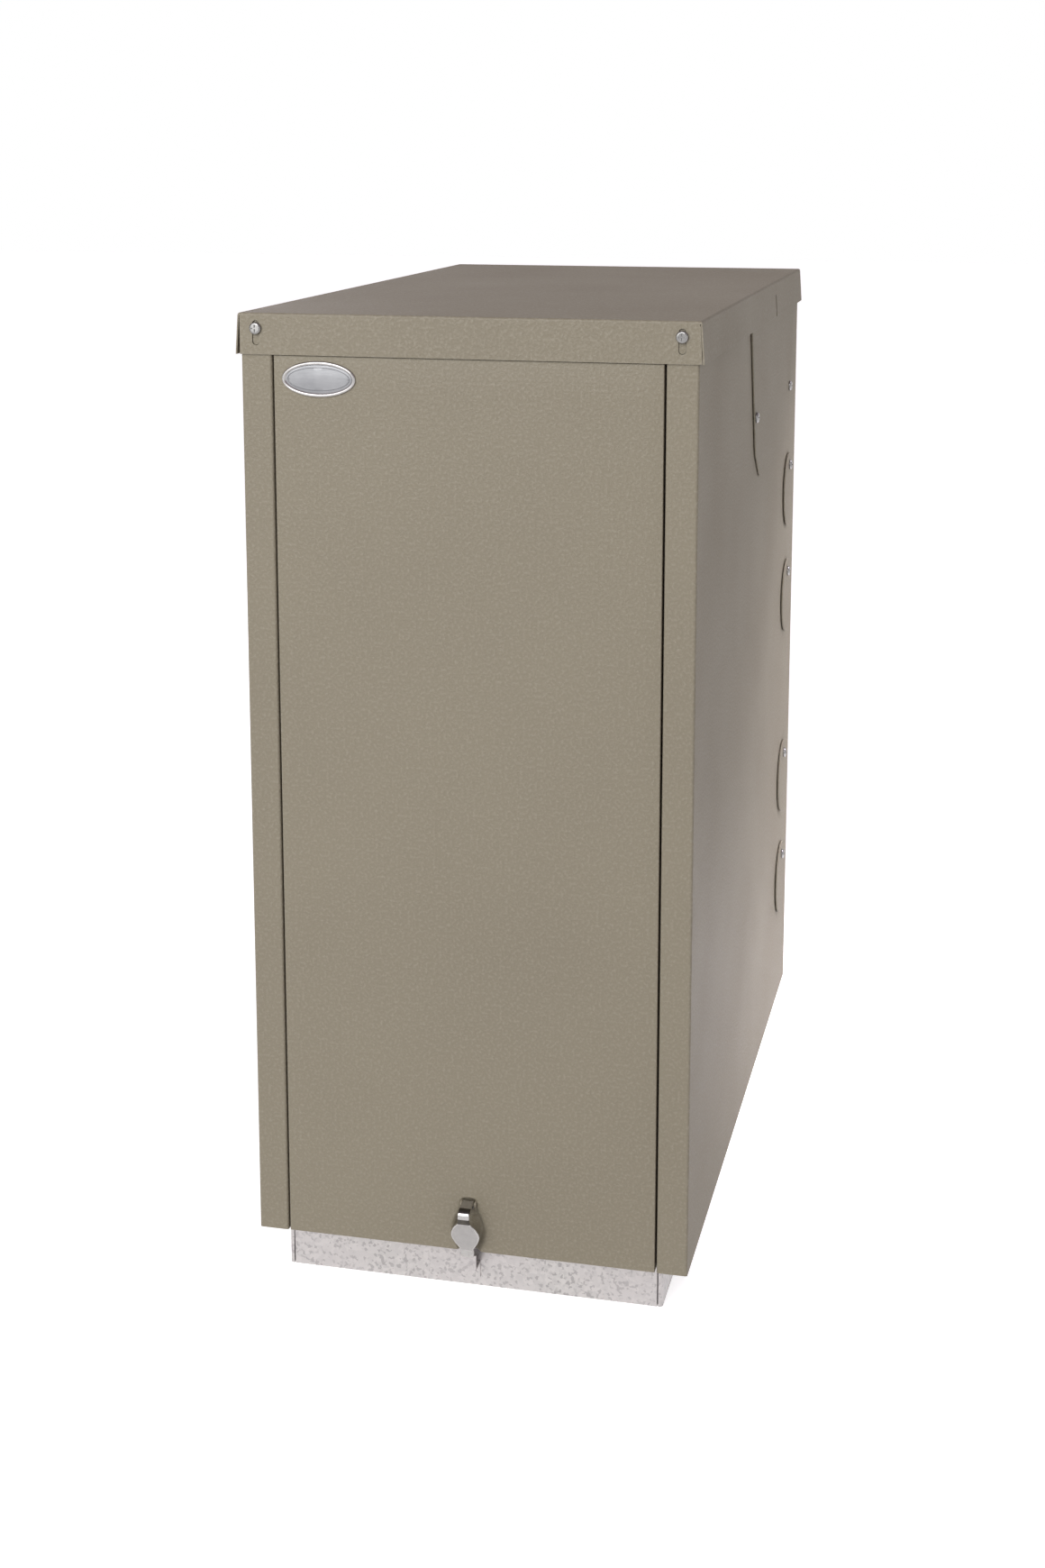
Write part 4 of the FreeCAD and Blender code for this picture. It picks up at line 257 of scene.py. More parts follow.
def moulded(name, look):  # moulded plastic with a spark-eroded skin
    mat, tree, shader, coords = startFinish(name)
    skin = grain(tree, coords, look["skinScale"], 2)
    cloud = grain(tree, coords, look.get("cloudScale", 14), 3)
    colour = tintBetween(tree, spread(tree, cloud, 0, 1), look["colour"], look["shade"])
    tree.links.new(colour, shader.inputs["Base Color"])
    tree.links.new(spread(tree, skin, *look["rough"]), shader.inputs["Roughness"])
    relief(tree, shader, [(skin, look["skinDepth"])])
    return mat


def spangled(name, look):  # hot-dip zinc flowers
    mat, tree, shader, coords = startFinish(name)
    shader.inputs["Metallic"].default_value = look["metal"]
    sway = addNode(tree, "ShaderNodeTexNoise", [(coords, "Vector")], Scale=look["swayScale"], Detail=2)
    offset = addNode(tree, "ShaderNodeVectorMath", [(sway.outputs["Color"], 0)], operation="SCALE", Scale=look["ragged"]).outputs[0]
    bent = addNode(tree, "ShaderNodeVectorMath", [(coords, 0), (offset, 1)], operation="ADD").outputs[0]
    flower = cellColour(tree, bent, look["flowerScale"])
    speck = cellColour(tree, bent, look["speckScale"])
    colour = tintBetween(tree, flower[0], look["colour"], look["shade"])
    colour = tintBetween(tree, spread(tree, speck[1], 0, look["speckMost"], 0.72, 0.86), colour, look["speck"])
    colour = tintBetween(tree, spread(tree, grain(tree, coords, look["tingeScale"], 3), 0, 0.5), colour, look["tinge"])
    tree.links.new(colour, shader.inputs["Base Color"])
    tree.links.new(spread(tree, flower[1], *look["rough"], 0, 1), shader.inputs["Roughness"])
    relief(tree, shader, [(speck[0], look["speckDepth"]), (grain(tree, coords, look["fineScale"], 2), look["fineDepth"])])
    return mat


def castSkin(name, look):  # sand-cast metal
    mat, tree, shader, coords = startFinish(name)
    shader.inputs["Metallic"].default_value = 1
    sand = grain(tree, coords, look["sandScale"], 4)
    cloud = grain(tree, coords, look["cloudScale"], 3)
    colour = tintBetween(tree, spread(tree, cloud, 0, 1), look["colour"], look["shade"])
    tree.links.new(colour, shader.inputs["Base Color"])
    tree.links.new(spread(tree, sand, *look["rough"]), shader.inputs["Roughness"])
    relief(tree, shader, [(sand, look["sandDepth"])])
    return mat


def crinkledFoil(name, look):
    mat, tree, shader, coords = startFinish(name)
    shader.inputs["Metallic"].default_value = 1
    cells = addNode(tree, "ShaderNodeTexVoronoi", [(coords, "Vector")], Scale=look["foldScale"], feature="DISTANCE_TO_EDGE")
    fold = spread(tree, cells.outputs["Distance"], 0, 1, 0, 0.2)
    wrinkle = grain(tree, coords, look["wrinkleScale"], 5)
    colour = tintBetween(tree, spread(tree, wrinkle, 0, 1), look["colour"], look["shade"])
    tree.links.new(colour, shader.inputs["Base Color"])
    tree.links.new(spread(tree, wrinkle, *look["rough"]), shader.inputs["Roughness"])
    relief(tree, shader, [(wrinkle, look["wrinkleDepth"]), (fold, look["foldDepth"])])
    return mat


# light is the tone of the painted sheen on peel crests (peelSheen) and of the lightened edges
casingPaint = dict(
    colour=(0.272, 0.243, 0.178), shade=(0.256, 0.228, 0.168), light=(0.42, 0.385, 0.31), cloudScale=5, peelScale=390, peelDepth=0.0006,
    peelSheen=0.34, rough=(0.56, 0.64), gloss=0.3, frontSmooth=-0.28, edgeWearAndSheen=0.55, edgeBandWidth=0.0014, edgeBreakScale=160,
)
heatPaint = dict(
    colour=(0.045, 0.045, 0.048), shade=(0.062, 0.058, 0.055), light=(0.16, 0.14, 0.125), cloudScale=12, peelScale=900, peelDepth=0.00008,
    peelSheen=0.12, rough=(0.6, 0.78), gloss=0.35, edgeWearAndSheen=0.6, edgeBandWidth=0.0015, edgeBreakScale=160,
)
motorPaint = dict(
    colour=(0.04, 0.042, 0.047), shade=(0.055, 0.055, 0.06), light=(0.14, 0.14, 0.15), cloudScale=20, peelScale=700, peelDepth=0.00003,
    peelSheen=0.1, rough=(0.35, 0.5), gloss=0.5, edgeWearAndSheen=0.5, edgeBandWidth=0.001, edgeBreakScale=160,
)
fasciaPaint = dict(
    colour=(0.52, 0.52, 0.5), shade=(0.48, 0.48, 0.465), light=(0.66, 0.66, 0.64), cloudScale=8, peelScale=800, peelDepth=0.00003,
    peelSheen=0.15, rough=(0.42, 0.52), gloss=0.45, edgeWearAndSheen=0.4, edgeBandWidth=0.001, edgeBreakScale=160,
)
finishes = {
    "casing_paint": painted("casingPaint", casingPaint),
    "boiler_steel": painted("heatPaint", heatPaint),
    "motor_paint": painted("motorPaint", motorPaint),
    "panel_grey": painted("fasciaPaint", fasciaPaint),
    "galvanised_steel": spangled("zincSpangle", dict(
        colour=(0.58, 0.56, 0.545), shade=(0.5, 0.485, 0.475), speck=(0.25, 0.242, 0.24), tinge=(0.54, 0.505, 0.51), metal=0.85,
        flowerScale=240, speckScale=390, speckMost=0.62, speckDepth=0.00003, swayScale=300, ragged=0.0045, tingeScale=9,
        fineScale=900, fineDepth=0.00002, rough=(0.32, 0.5))),
    "zinc_screw": bareMetal("brightZinc", dict(
        colour=(0.33, 0.325, 0.315), shade=(0.26, 0.26, 0.255), cloudScale=150, lineScale=1500, rough=(0.18, 0.3), lineDepth=0.00001)),
    "spring_steel": bareMetal("blueSpring", dict(
        colour=(0.36, 0.38, 0.44), shade=(0.28, 0.29, 0.33), cloudScale=60, lineScale=900, rough=(0.25, 0.4), lineDepth=0.00001)),
    "latch_chrome": bareMetal("latchPlating", dict(
        colour=(0.5, 0.49, 0.48), shade=(0.43, 0.42, 0.41), cloudScale=120, lineScale=700, rough=(0.12, 0.22), lineDepth=0.00001,
        stain=(0.3, 0.285, 0.27), stainScale=260, stainMost=0.25)),
    "latch_satin": bareMetal("latchSatin", dict(
        colour=(0.42, 0.41, 0.403), shade=(0.38, 0.37, 0.365), cloudScale=200, lineScale=1100, rough=(0.36, 0.5), lineDepth=0.00002)),
    # painted reflection: dark plating for the strap bands, standing for the dark surroundings a chrome bend mirrors
    "latch_dark_reflection": bareMetal("latchPaintedReflection", dict(
        colour=(0.1, 0.092, 0.08), shade=(0.07, 0.065, 0.06), cloudScale=300, lineScale=900, rough=(0.25, 0.35), lineDepth=0.00001)),
    "badge_plate": bareMetal("badgeSatin", dict(
        colour=(0.31, 0.314, 0.322), shade=(0.255, 0.26, 0.268), cloudScale=60, lineScale=900, stretch=(0.05, 1, 1), rough=(0.42, 0.55),
        lineDepth=0.00001)),
    "stainless_steel": bareMetal("satinStainless", dict(
        colour=(0.62, 0.61, 0.6), shade=(0.54, 0.535, 0.53), cloudScale=15, lineScale=1200, stretch=(1, 1, 0.04), rough=(0.28, 0.42),
        lineDepth=0.000015, stain=(0.42, 0.36, 0.3), stainScale=25, stainMost=0.3)),
    "brass_fitting": bareMetal("turnedBrass", dict(
        colour=(0.78, 0.57, 0.25), shade=(0.66, 0.46, 0.19), cloudScale=70, lineScale=900, rough=(0.22, 0.38), lineDepth=0.00001,
        stain=(0.36, 0.23, 0.1), stainScale=120, stainMost=0.45)),
    "copper_pipe": bareMetal("drawnCopper", dict(
        colour=(0.82, 0.42, 0.27), shade=(0.66, 0.31, 0.19), cloudScale=40, lineScale=900, rough=(0.22, 0.4), lineDepth=0.00001,
        stain=(0.3, 0.15, 0.1), stainScale=70, stainMost=0.5)),
    "cast_aluminium": castSkin("castAluminium", dict(
        colour=(0.64, 0.64, 0.63), shade=(0.5, 0.5, 0.5), cloudScale=22, sandScale=700, sandDepth=0.00025, rough=(0.4, 0.6))),
    "insulation_foil": crinkledFoil("quiltFoil", dict(
        colour=(0.84, 0.84, 0.83), shade=(0.7, 0.7, 0.7), foldScale=70, foldDepth=0.0004, wrinkleScale=140, wrinkleDepth=0.0007,
        rough=(0.22, 0.36))),
    "hood_red": moulded("hoodRed", dict(
        colour=(0.4, 0.022, 0.018), shade=(0.34, 0.018, 0.016), skinScale=1400, skinDepth=0.00004, rough=(0.3, 0.42))),
    "black_plastic": moulded("blackMoulding", dict(
        colour=(0.022, 0.022, 0.023), shade=(0.032, 0.031, 0.031), skinScale=1600, skinDepth=0.00004, rough=(0.38, 0.52))),
    "red_plastic": moulded("redMoulding", dict(
        colour=(0.5, 0.03, 0.022), shade=(0.42, 0.024, 0.02), skinScale=1600, skinDepth=0.00003, rough=(0.28, 0.4))),
    "white_plastic": moulded("whiteMoulding", dict(
        colour=(0.78, 0.775, 0.75), shade=(0.7, 0.695, 0.66), skinScale=1600, skinDepth=0.00003, rough=(0.32, 0.45))),
}
for nodeName, node in cadNodes.items():
    for place in node.material_slots:
        place.material = finishes[slotOf[nodeName]]
print("finishes:", len(finishes))


weld = dict(doubles=1e-6, slivers=1e-7)


def addPiece(name, verts, faces, body, mats, stands=(), slot=None, sharp=35, faceMats=None):
    mesh = bpy.data.meshes.new(name)
    mesh.from_pydata([tuple(v) for v in verts], [], faces)
    for mat in mats:
        mesh.materials.append(mat)
    if faceMats is not None:
        mesh.polygons.foreach_set("material_index", faceMats)
    work = bmesh.new()
    work.from_mesh(mesh)
    bmesh.ops.remove_doubles(work, verts=work.verts, dist=weld["doubles"])
    bmesh.ops.dissolve_degenerate(work, edges=work.edges, dist=weld["slivers"])
    bmesh.ops.recalc_face_normals(work, faces=work.faces)
    work.to_mesh(mesh)
    work.free()
    mesh.shade_smooth()
    mesh.set_sharp_from_angle(angle=math.radians(sharp))
    piece = bpy.data.objects.new(name, mesh)
    scene.collection.objects.link(piece)
    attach(piece, body)
    if stands:
        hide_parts(*stands)
    return piece


def sheetFaces(columns, rows):
    return [(i * rows + j, (i + 1) * rows + j, (i + 1) * rows + j + 1, i * rows + j + 1)
            for i in range(columns - 1) for j in range(rows - 1)]


def ringFaces(loops, around, first=0):  # quads between closed loops of vertices
    return [(first + i * around + k, first + i * around + (k + 1) % around,
             first + (i + 1) * around + (k + 1) % around, first + (i + 1) * around + k)
            for i in range(loops - 1) for k in range(around)]


def endFaces(loops, around, first=0):  # the first and the last loop closed
    return [tuple(range(first, first + around)), tuple(range(first + (loops - 1) * around, first + loops * around))]


def eased(points, rounds=3):  # corner cutting keeps both ends
    for again in range(rounds):
        cut = [points[0]]
        for a, b in zip(points, points[1:]):
            for far in (0.25, 0.75):
                cut.append(tuple((1 - far) * p + far * q for p, q in zip(a, b)))
        points = cut + [points[-1]]
    return points


# small flat plates share one outline-to-mesh helper
def capsule(x, z, halfLong, halfWide, turn=0, steps=7):  # turn is measured from straight up, clockwise
    points = []
    for end, start in ((1, -90), (-1, 90)):
        for k in range(steps + 1):
            a = math.radians(start + 180 * k / steps)
            points.append((halfWide * math.sin(a), end * (halfLong - halfWide) + halfWide * math.cos(a)))
    c, r = math.cos(math.radians(turn)), math.sin(math.radians(turn))
    return [(x + u * c + v * r, z - u * r + v * c) for u, v in points]


def plateMesh(outlines, face, back, ease):
    verts, faces = [], []
    for outline in outlines:
        count, start = len(outline), len(verts)
        midX, midZ = sum(p[0] for p in outline) / count, sum(p[1] for p in outline) / count
        inset = []
        for x, z in outline:
            reach = math.hypot(midX - x, midZ - z)
            inset.append((x + (midX - x) / reach * ease, z + (midZ - z) / reach * ease))
        for y, loop in ((back, outline), (face + ease, outline), (face, inset)):
            verts += [(x, y, z) for x, z in loop]
        faces += ringFaces(3, count, start) + endFaces(3, count, start)
    return verts, faces


def joined(parts):
    verts, faces = [], []
    for moreVerts, moreFaces in parts:
        faces += [tuple(len(verts) + v for v in face) for face in moreFaces]
        verts += [tuple(v) for v in moreVerts]
    return verts, faces


# front panel: folded tray with a pressed thumb recess that runs out at its lower edge
frontSheet = dict(
    fold=0.0008, sheet=0.0012, foldSteps=4, sideGrow=0.0007, topGrow=0.0005,
    fineHalf=24, fineUp=56, acrossCoarse=[0.035, 0.06, 0.1, 0.15], upCoarse=[0.105, 0.12, 0.16, 0.25, 0.4, 0.55, 0.7, 0.8],
    recessDepth=[(0.02, 0.0055), (0.05, 0.0062), (0.07, 0.007), (0.082, 0.0029), (0.1, 0.0022)],
    recessSlope=[(0.06, 0.0068), (0.075, 0.005), (0.084, 0.0024), (0.1, 0.002)],
    recessSide=[(0, 0.0896), (0.0055, 0.0893), (0.0077, 0.0871), (0.0084, 0.0835), (0.0093, 0.079), (0.0116, 0.0735), (0.0146, 0.067),
                (0.0163, 0.061), (0.0165, 0.057), (0.0152, 0.051), (0.0132, 0.0455), (0.0118, 0.04), (0.0114, 0.02)],
)


def recessAt(x, z):  # how far the sheet is pressed in
    side = np.array(eased(frontSheet["recessSide"]))
    across = np.abs(x)
    nearest = np.full(x.shape, 1.0)
    for (ax, az), (bx, bz) in zip(side, side[1:]):
        length = (bx - ax) ** 2 + (bz - az) ** 2
        t = np.clip(((across - ax) * (bx - ax) + (z - az) * (bz - az)) / length, 0, 1)
        nearest = np.minimum(nearest, np.hypot(across - ax - t * (bx - ax), z - az - t * (bz - az)))
    edge = np.interp(-z, -side[:, 1], side[:, 0], left=-1)
    t = np.clip(nearest / np.interp(z, *zip(*frontSheet["recessSlope"])), 0, 1)
    deep = np.interp(z, *zip(*frontSheet["recessDepth"]))
    return np.where(across < edge, deep * t * t * (3 - 2 * t), 0)


def foldedLine(low, high, inner, depth):
    fold, steps = frontSheet["fold"], frontSheet["foldSteps"]
    angles = np.linspace(0, math.pi / 2, steps + 1)
    turn = [(fold * (1 - math.sin(a)), fold * (1 - math.cos(a))) for a in angles]  # into the face, back
    start = [(low, depth)] + [(low + step, back) for step, back in reversed(turn)]
    stop = [(high - (place - low), back) for place, back in reversed(start)]
    return start + [(p, 0) for p in inner] + stop


def makeFrontSheet():
    low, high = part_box("front_panel")
    low.x, high.x = low.x - frontSheet["sideGrow"], high.x + frontSheet["sideGrow"]
    high.z += frontSheet["topGrow"]
    depth = high.y - low.y
    fold = frontSheet["fold"]
    coarse, fineHalf = frontSheet["acrossCoarse"], frontSheet["fineHalf"]
    fine = [p / 1000 for p in range(-fineHalf, fineHalf + 1)]  # millimetre steps over the recess
    acrossInner = [-x for x in reversed(coarse)] + fine + coarse
    upInner = [low.z + fold + 0.001 * k for k in range(1, frontSheet["fineUp"] + 1)] + frontSheet["upCoarse"]
    columns = foldedLine(low.x, high.x, acrossInner, depth)
    rows = foldedLine(low.z, high.z, upInner, depth)
    foot = frontSheet["foldSteps"] + 2
    verts = []
    for x, backX in columns:
        for j, (z, backZ) in enumerate(rows):
            press = float(recessAt(np.array([x]), np.array([max(z, low.z)]))[0])
            back = min(backZ + press, depth) if j < foot else backZ + press
            verts.append((x, low.y + max(back, backX), z))
    faces = sheetFaces(len(columns), len(rows))
    piece = addPiece("frontPanelSheet", verts, faces, "front_panel", [finishes["casing_paint"]], ["front_panel"], "casing_paint", 50)
    work = bmesh.new()
    work.from_mesh(piece.data)
    outward = sum(f.normal.y * f.calc_area() for f in work.faces)
    if outward > 0:
        bmesh.ops.reverse_faces(work, faces=work.faces)
        work.to_mesh(piece.data)
    work.free()
    thick = piece.modifiers.new("sheetGauge", "SOLIDIFY")
    thick.thickness = frontSheet["sheet"]
    thick.offset = -1
    return piece


makeFrontSheet()
print("front panel pressed")

# latch lever: strip rolled round the pin, bent over, with a broad thumb pad
latchPin = dict(y=-0.36, z=0.084)
latchStrip = dict(
    metal=0.0022, eyeRadius=0.0026, eyeTurn=(215, 458), eyeSteps=26, step=0.0006, frontFrom=-0.3625,
    bend=[(-0.36036, 0.08657), (-0.3684, 0.0855), (-0.3769, 0.0839), (-0.3781, 0.078), (-0.3757, 0.07), (-0.3718, 0.06),
          (-0.3664, 0.0465), (-0.3643, 0.0412), (-0.3638, 0.036)],
    halfAt=[(0.036, 0.0036), (0.0365, 0.0048), (0.0378, 0.0058), (0.04, 0.0061), (0.0442, 0.0062), (0.0455, 0.0067), (0.0485, 0.0085),
            (0.0515, 0.0104), (0.0535, 0.0113), (0.0565, 0.0125), (0.0595, 0.0131), (0.062, 0.0128), (0.0645, 0.0122), (0.0685, 0.0104),
            (0.0705, 0.0088), (0.0725, 0.0068), (0.0745, 0.0055), (0.0758, 0.0053), (0.1, 0.0053)],
    rim=0.0016, rimProfile=[(0.2, 0.75), (0.5, 1.05)], underProfile=[(0.2, -0.75), (1, -1)],  # shares of the rim, lift in half metals
    padZone=(0.0445, 0.0738), padEase=0.001, padSink=0.3, padFaces=(3, 4), outerFaces=8,
    # these two zones take the dark finish as a painted reflection: the strap above the crest and a band under it
    darkReflectionBefore=(-0.3718, 0.0042), darkReflectionAfter=(0.0738, 0.0798),
)


def latchSection(half, dish):  # closed outline across the strip; dish sinks the pad between its rims
    rim, flush = latchStrip["rim"], latchStrip["rimProfile"][-1][1]
    inner, padFloor = rim * (0.6 + 0.4 * dish), flush - latchStrip["padSink"] * dish
    over = [(rim * share, lift) for share, lift in latchStrip["rimProfile"]] + [(inner, padFloor)]
    under = [(rim * share, lift) for share, lift in latchStrip["underProfile"]]
    section = [(-half, 0)] + [(inset - half, lift) for inset, lift in over] + [(0, padFloor)]
    section += [(half - inset, lift) for inset, lift in reversed(over)] + [(half, 0)]
    section += [(half - inset, lift) for inset, lift in under] + [(0, -1)]
    return section + [(inset - half, lift) for inset, lift in reversed(under)]


def makeLatch():
    turns = np.radians(np.linspace(*latchStrip["eyeTurn"], latchStrip["eyeSteps"]))
    radius = latchStrip["eyeRadius"]
    eye = [(latchPin["y"] + radius * math.cos(a), latchPin["z"] + radius * math.sin(a)) for a in turns]
    path = eye + eased(latchStrip["bend"], 4)
    heights, halves = zip(*latchStrip["halfAt"])
    dense = [path[0]]
    for a, b in zip(path, path[1:]):
        count = max(1, int(math.dist(a, b) / latchStrip["step"]))
        dense += [tuple(p + (q - p) * k / count for p, q in zip(a, b)) for k in range(1, count + 1)]
    metal = latchStrip["metal"] / 2
    padLow, padHigh = latchStrip["padZone"]
    verts = []
    for k, (y, z) in enumerate(dense):
        before, after = dense[max(k - 1, 0)], dense[min(k + 1, len(dense) - 1)]
        along = Vector((0, after[0] - before[0], after[1] - before[1])).normalized()
        out = Vector((0, along.z, -along.y))  # towards the outer skin
        half, dish = halves[-1], 0
        if y < latchStrip["frontFrom"]:
            half = float(np.interp(z, heights, halves))
            dish = min(1, max(0, min(z - padLow, padHigh - z) / latchStrip["padEase"]))
        section = latchSection(half, dish)
        verts += [Vector((x, y, z)) + out * lift * metal for x, lift in section]
    ring = len(section)
    faces = ringFaces(len(dense), ring) + endFaces(len(dense), ring)
    crest = min(range(len(dense)), key=lambda k: dense[k][0])
    # painted reflection: outer faces of the strap above the crest and of the band under it take the dark finish
    reflectionFrom, clear = latchStrip["darkReflectionBefore"]
    reflectionLow, reflectionHigh = latchStrip["darkReflectionAfter"]
    faceMats = []
    for k, (y, z) in enumerate(dense[:-1]):
        onPad = y < latchStrip["frontFrom"] and padLow < z < padHigh
        reflectedTop = k < crest and y < reflectionFrom and z > dense[crest][1] + clear
        reflectedNeck = k > crest and reflectionLow < z < reflectionHigh
        for j in range(ring):
            if onPad and j in latchStrip["padFaces"]:
                faceMats.append(1)
            else:
                faceMats.append(2 if (reflectedTop or reflectedNeck) and j < latchStrip["outerFaces"] else 0)
    faceMats += [0, 0]
    mats = [finishes[name] for name in ("latch_chrome", "latch_satin", "latch_dark_reflection")]
    return addPiece("latchStrip", verts, faces, "latch", mats, ["latch_lever"], "latch_chrome", 40, faceMats)


latchLugs = dict(
    foot=-0.352, radius=0.0027, noseSteps=15, inner=0.0056, outer=0.0071, ease=0.0003, tuckFrom=0.003, tuckBack=0.06, tuckUp=0.1,
    pinEnd=[(0.0076, 0.0008), (0.0074, 0.0014), (0.0071, 0.0015)], pinSteps=20, plateHalf=0.0026, plateThick=0.0015, plateEase=0.0002,
)


def makeBracket():  # two round lugs, a foot and the pin
    lug, pinY, pinZ = latchLugs, latchPin["y"], latchPin["z"]
    foot, radius, ease = lug["foot"], lug["radius"], lug["ease"]
    turns = np.radians(np.linspace(90, 270, lug["noseSteps"]))
    nose = [(pinY + radius * math.cos(a), pinZ + radius * math.sin(a)) for a in turns]
    side = [(foot, pinZ + radius)] + nose + [(foot, pinZ - radius)]
    parts = []
    for inner, outer in ((lug["inner"], lug["outer"]), (-lug["outer"], -lug["inner"])):
        loops = [(inner, 1), (inner + ease, 0), (outer - ease, 0), (outer, 1)]
        verts = [(x, y + (pinY + lug["tuckFrom"] - y) * lug["tuckBack"] * tuck, z + (pinZ - z) * lug["tuckUp"] * tuck)
                 for x, tuck in loops for y, z in side]
        parts.append((verts, ringFaces(len(loops), len(side)) + endFaces(len(loops), len(side))))
    around = lug["pinSteps"]
    turns = [math.tau * k / around for k in range(around)]
    pinLoops = [(-x, r) for x, r in lug["pinEnd"]] + lug["pinEnd"][::-1]
    verts = [(x, pinY + r * math.cos(a), pinZ + r * math.sin(a)) for x, r in pinLoops for a in turns]
    parts.append((verts, ringFaces(len(pinLoops), around) + endFaces(len(pinLoops), around)))
    wide, tall = lug["outer"], lug["plateHalf"]
    plate = [(-wide, pinZ - tall), (wide, pinZ - tall), (wide, pinZ + tall), (-wide, pinZ + tall)]
    parts.append(plateMesh([plate], foot - lug["plateThick"], foot, lug["plateEase"]))
    return addPiece("latchLugs", *joined(parts), "front_panel", [finishes["casing_paint"]], ["latch_bracket"], "galvanised_steel", 40)


makeLatch()
makeBracket()
print("latch bent")

# badge: bright rolled rim round a plain satin oval
ovalBadge = dict(
    steps=120, dome=0.0017, domeShares=(0.75, 0.5, 0.25, 0.08),
    rimProfile=[(0, 0), (0, 0.0009), (0.0003, 0.0016), (0.001, 0.0021), (0.0018, 0.0022), (0.0026, 0.0019), (0.003, 0.0013), (0.0034, 0.0009)],
    plateProfile=[(0.0034, 0.0009), (0.004, 0.001), (0.0052, 0.00115), (0.0055, 0.0009), (0.0058, 0.00118), (0.008, 0.0013)],
)


def makeBadge():
    low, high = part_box("badge")
    centre = (low + high) / 2
    wide, tall = (high.x - low.x) / 2, (high.z - low.z) / 2
    rimCount = len(ovalBadge["rimProfile"])
    profile = ovalBadge["rimProfile"] + ovalBadge["plateProfile"][1:]
    lastInset, lastLift = profile[-1]
    loops = [(wide - inset, tall - inset, lift) for inset, lift in profile]
    for share in ovalBadge["domeShares"]:
        lift = lastLift + (ovalBadge["dome"] - lastLift) * (1 - share * share)
        loops.append(((wide - lastInset) * share, (tall - lastInset) * share, lift))
    steps = ovalBadge["steps"]
    turns = [math.tau * k / steps for k in range(steps)]
    verts = [(centre.x + a * math.cos(t), high.y - lift, centre.z + b * math.sin(t)) for a, b, lift in loops for t in turns]
    faces = ringFaces(len(loops), steps) + endFaces(len(loops), steps)[::-1]
    faceMats = [0 if i < rimCount - 1 else 1 for i in range(len(loops) - 1) for k in range(steps)] + [1, 0]
    mats = [finishes["latch_chrome"], finishes["badge_plate"]]
    return addPiece("ovalBadge", verts, faces, "front_panel", mats, ["badge"], "badge_plate", 40, faceMats)


makeBadge()
print("badge turned")

# lid edge: painted tabs behind the open slots, and the right front seam closed up by its weld
cornerFill = dict(
    outline=[(0.1949, 0.8303), (0.1974, 0.8303), (0.1957, 0.861), (0.1949, 0.861)], face=-0.36095, back=-0.3598, ease=0.0001,
)
slotTabs = dict(centreX=0.181, centreZ=0.8482, halfLong=0.0101, halfWide=0.0028, face=-0.3598, back=-0.35935, ease=0.0001)


def makeSlotTabs():
    tabs = [capsule(side * slotTabs["centreX"], slotTabs["centreZ"], slotTabs["halfLong"], slotTabs["halfWide"]) for side in (-1, 1)]
    for name, outlines, plate in (("lidCornerFill", [cornerFill["outline"]], cornerFill), ("lidSlotTabs", tabs, slotTabs)):
        mesh = plateMesh(outlines, plate["face"], plate["back"], plate["ease"])
        addPiece(name, *mesh, "lid", [finishes["casing_paint"]], slot="casing_paint")


makeSlotTabs()
print("lid slots backed")

# control fascia: dial scale with numbers, knob pointer, rocker marks, pan-head screws
fascia = dict(
    face=-0.311, knobX=-0.095, midZ=0.741, turn=270, numbers=7, minor=3, tickIn=0.0234, tickLong=0.0021, tickShort=0.0013, tickHalf=0.0004,
    printed=0.00015, numberRadius=0.0318, numberSize=0.0072, pointer=(0.0068, 0.0205, 0.00075), knobFace=-0.3294, groove=0.001,
    tickEase=0.00005, pointerSink=0.0002, pointerEase=0.0001,
    switchX=0.02, rockerFront=-0.315, rockerDip=0.0015, rockerHalf=0.0085, markRise=0.0046, markSize=0.0062,
    screws=[(-0.178, 0.7), (0.178, 0.7), (-0.178, 0.782), (0.178, 0.782)], screwRadius=0.0036, screwTall=0.0019,
)


def letters(text, size, depth):  # flat type as plain vertices and faces, facing +Z
    curve = bpy.data.curves.new("typeLine", "FONT")
    curve.body = text
    curve.size = size
    curve.align_x, curve.align_y = "CENTER", "CENTER"
    curve.extrude = depth / 2
    curve.resolution_u = 4
    holder = bpy.data.objects.new("typeLine", curve)
    scene.collection.objects.link(holder)
    mesh = bpy.data.meshes.new_from_object(holder.evaluated_get(bpy.context.evaluated_depsgraph_get()))
    verts, faces = [v.co.copy() for v in mesh.vertices], [tuple(f.vertices) for f in mesh.polygons]
    bpy.data.objects.remove(holder)
    bpy.data.curves.remove(curve)
    bpy.data.meshes.remove(mesh)
    midX = (min(v.x for v in verts) + max(v.x for v in verts)) / 2
    midY = (min(v.y for v in verts) + max(v.y for v in verts)) / 2
    return [Vector((v.x - midX, v.y - midY, v.z)) for v in verts], faces


panCross = dict(around=40, rings=11, crown=(4, 0.55), armHalf=0.13, armReach=0.58, ease=0.14, depth=0.5)  # shares of radius and height


def panHead(x, y, z, radius, tall):  # domed head with a cross recess, facing the front
    around, rings = panCross["around"], panCross["rings"]
    half, reach, ease = (panCross[key] * radius for key in ("armHalf", "armReach", "ease"))
    flat, blunt = panCross["crown"]
    verts = []
    for i in range(rings):
        share = 1 - i / rings
        for k in range(around):
            a = math.tau * k / around
            u, v = radius * share * math.cos(a), radius * share * math.sin(a)
            arm = min(max(abs(u) - half, abs(v) - reach), max(abs(v) - half, abs(u) - reach))
            sunk = min(1, max(0, 0.5 - arm / ease))
            verts.append((x + u, y - tall * (1 - share ** flat) ** blunt + panCross["depth"] * tall * sunk, z + v))
    return verts, ringFaces(rings, around) + endFaces(rings, around)[::-1]


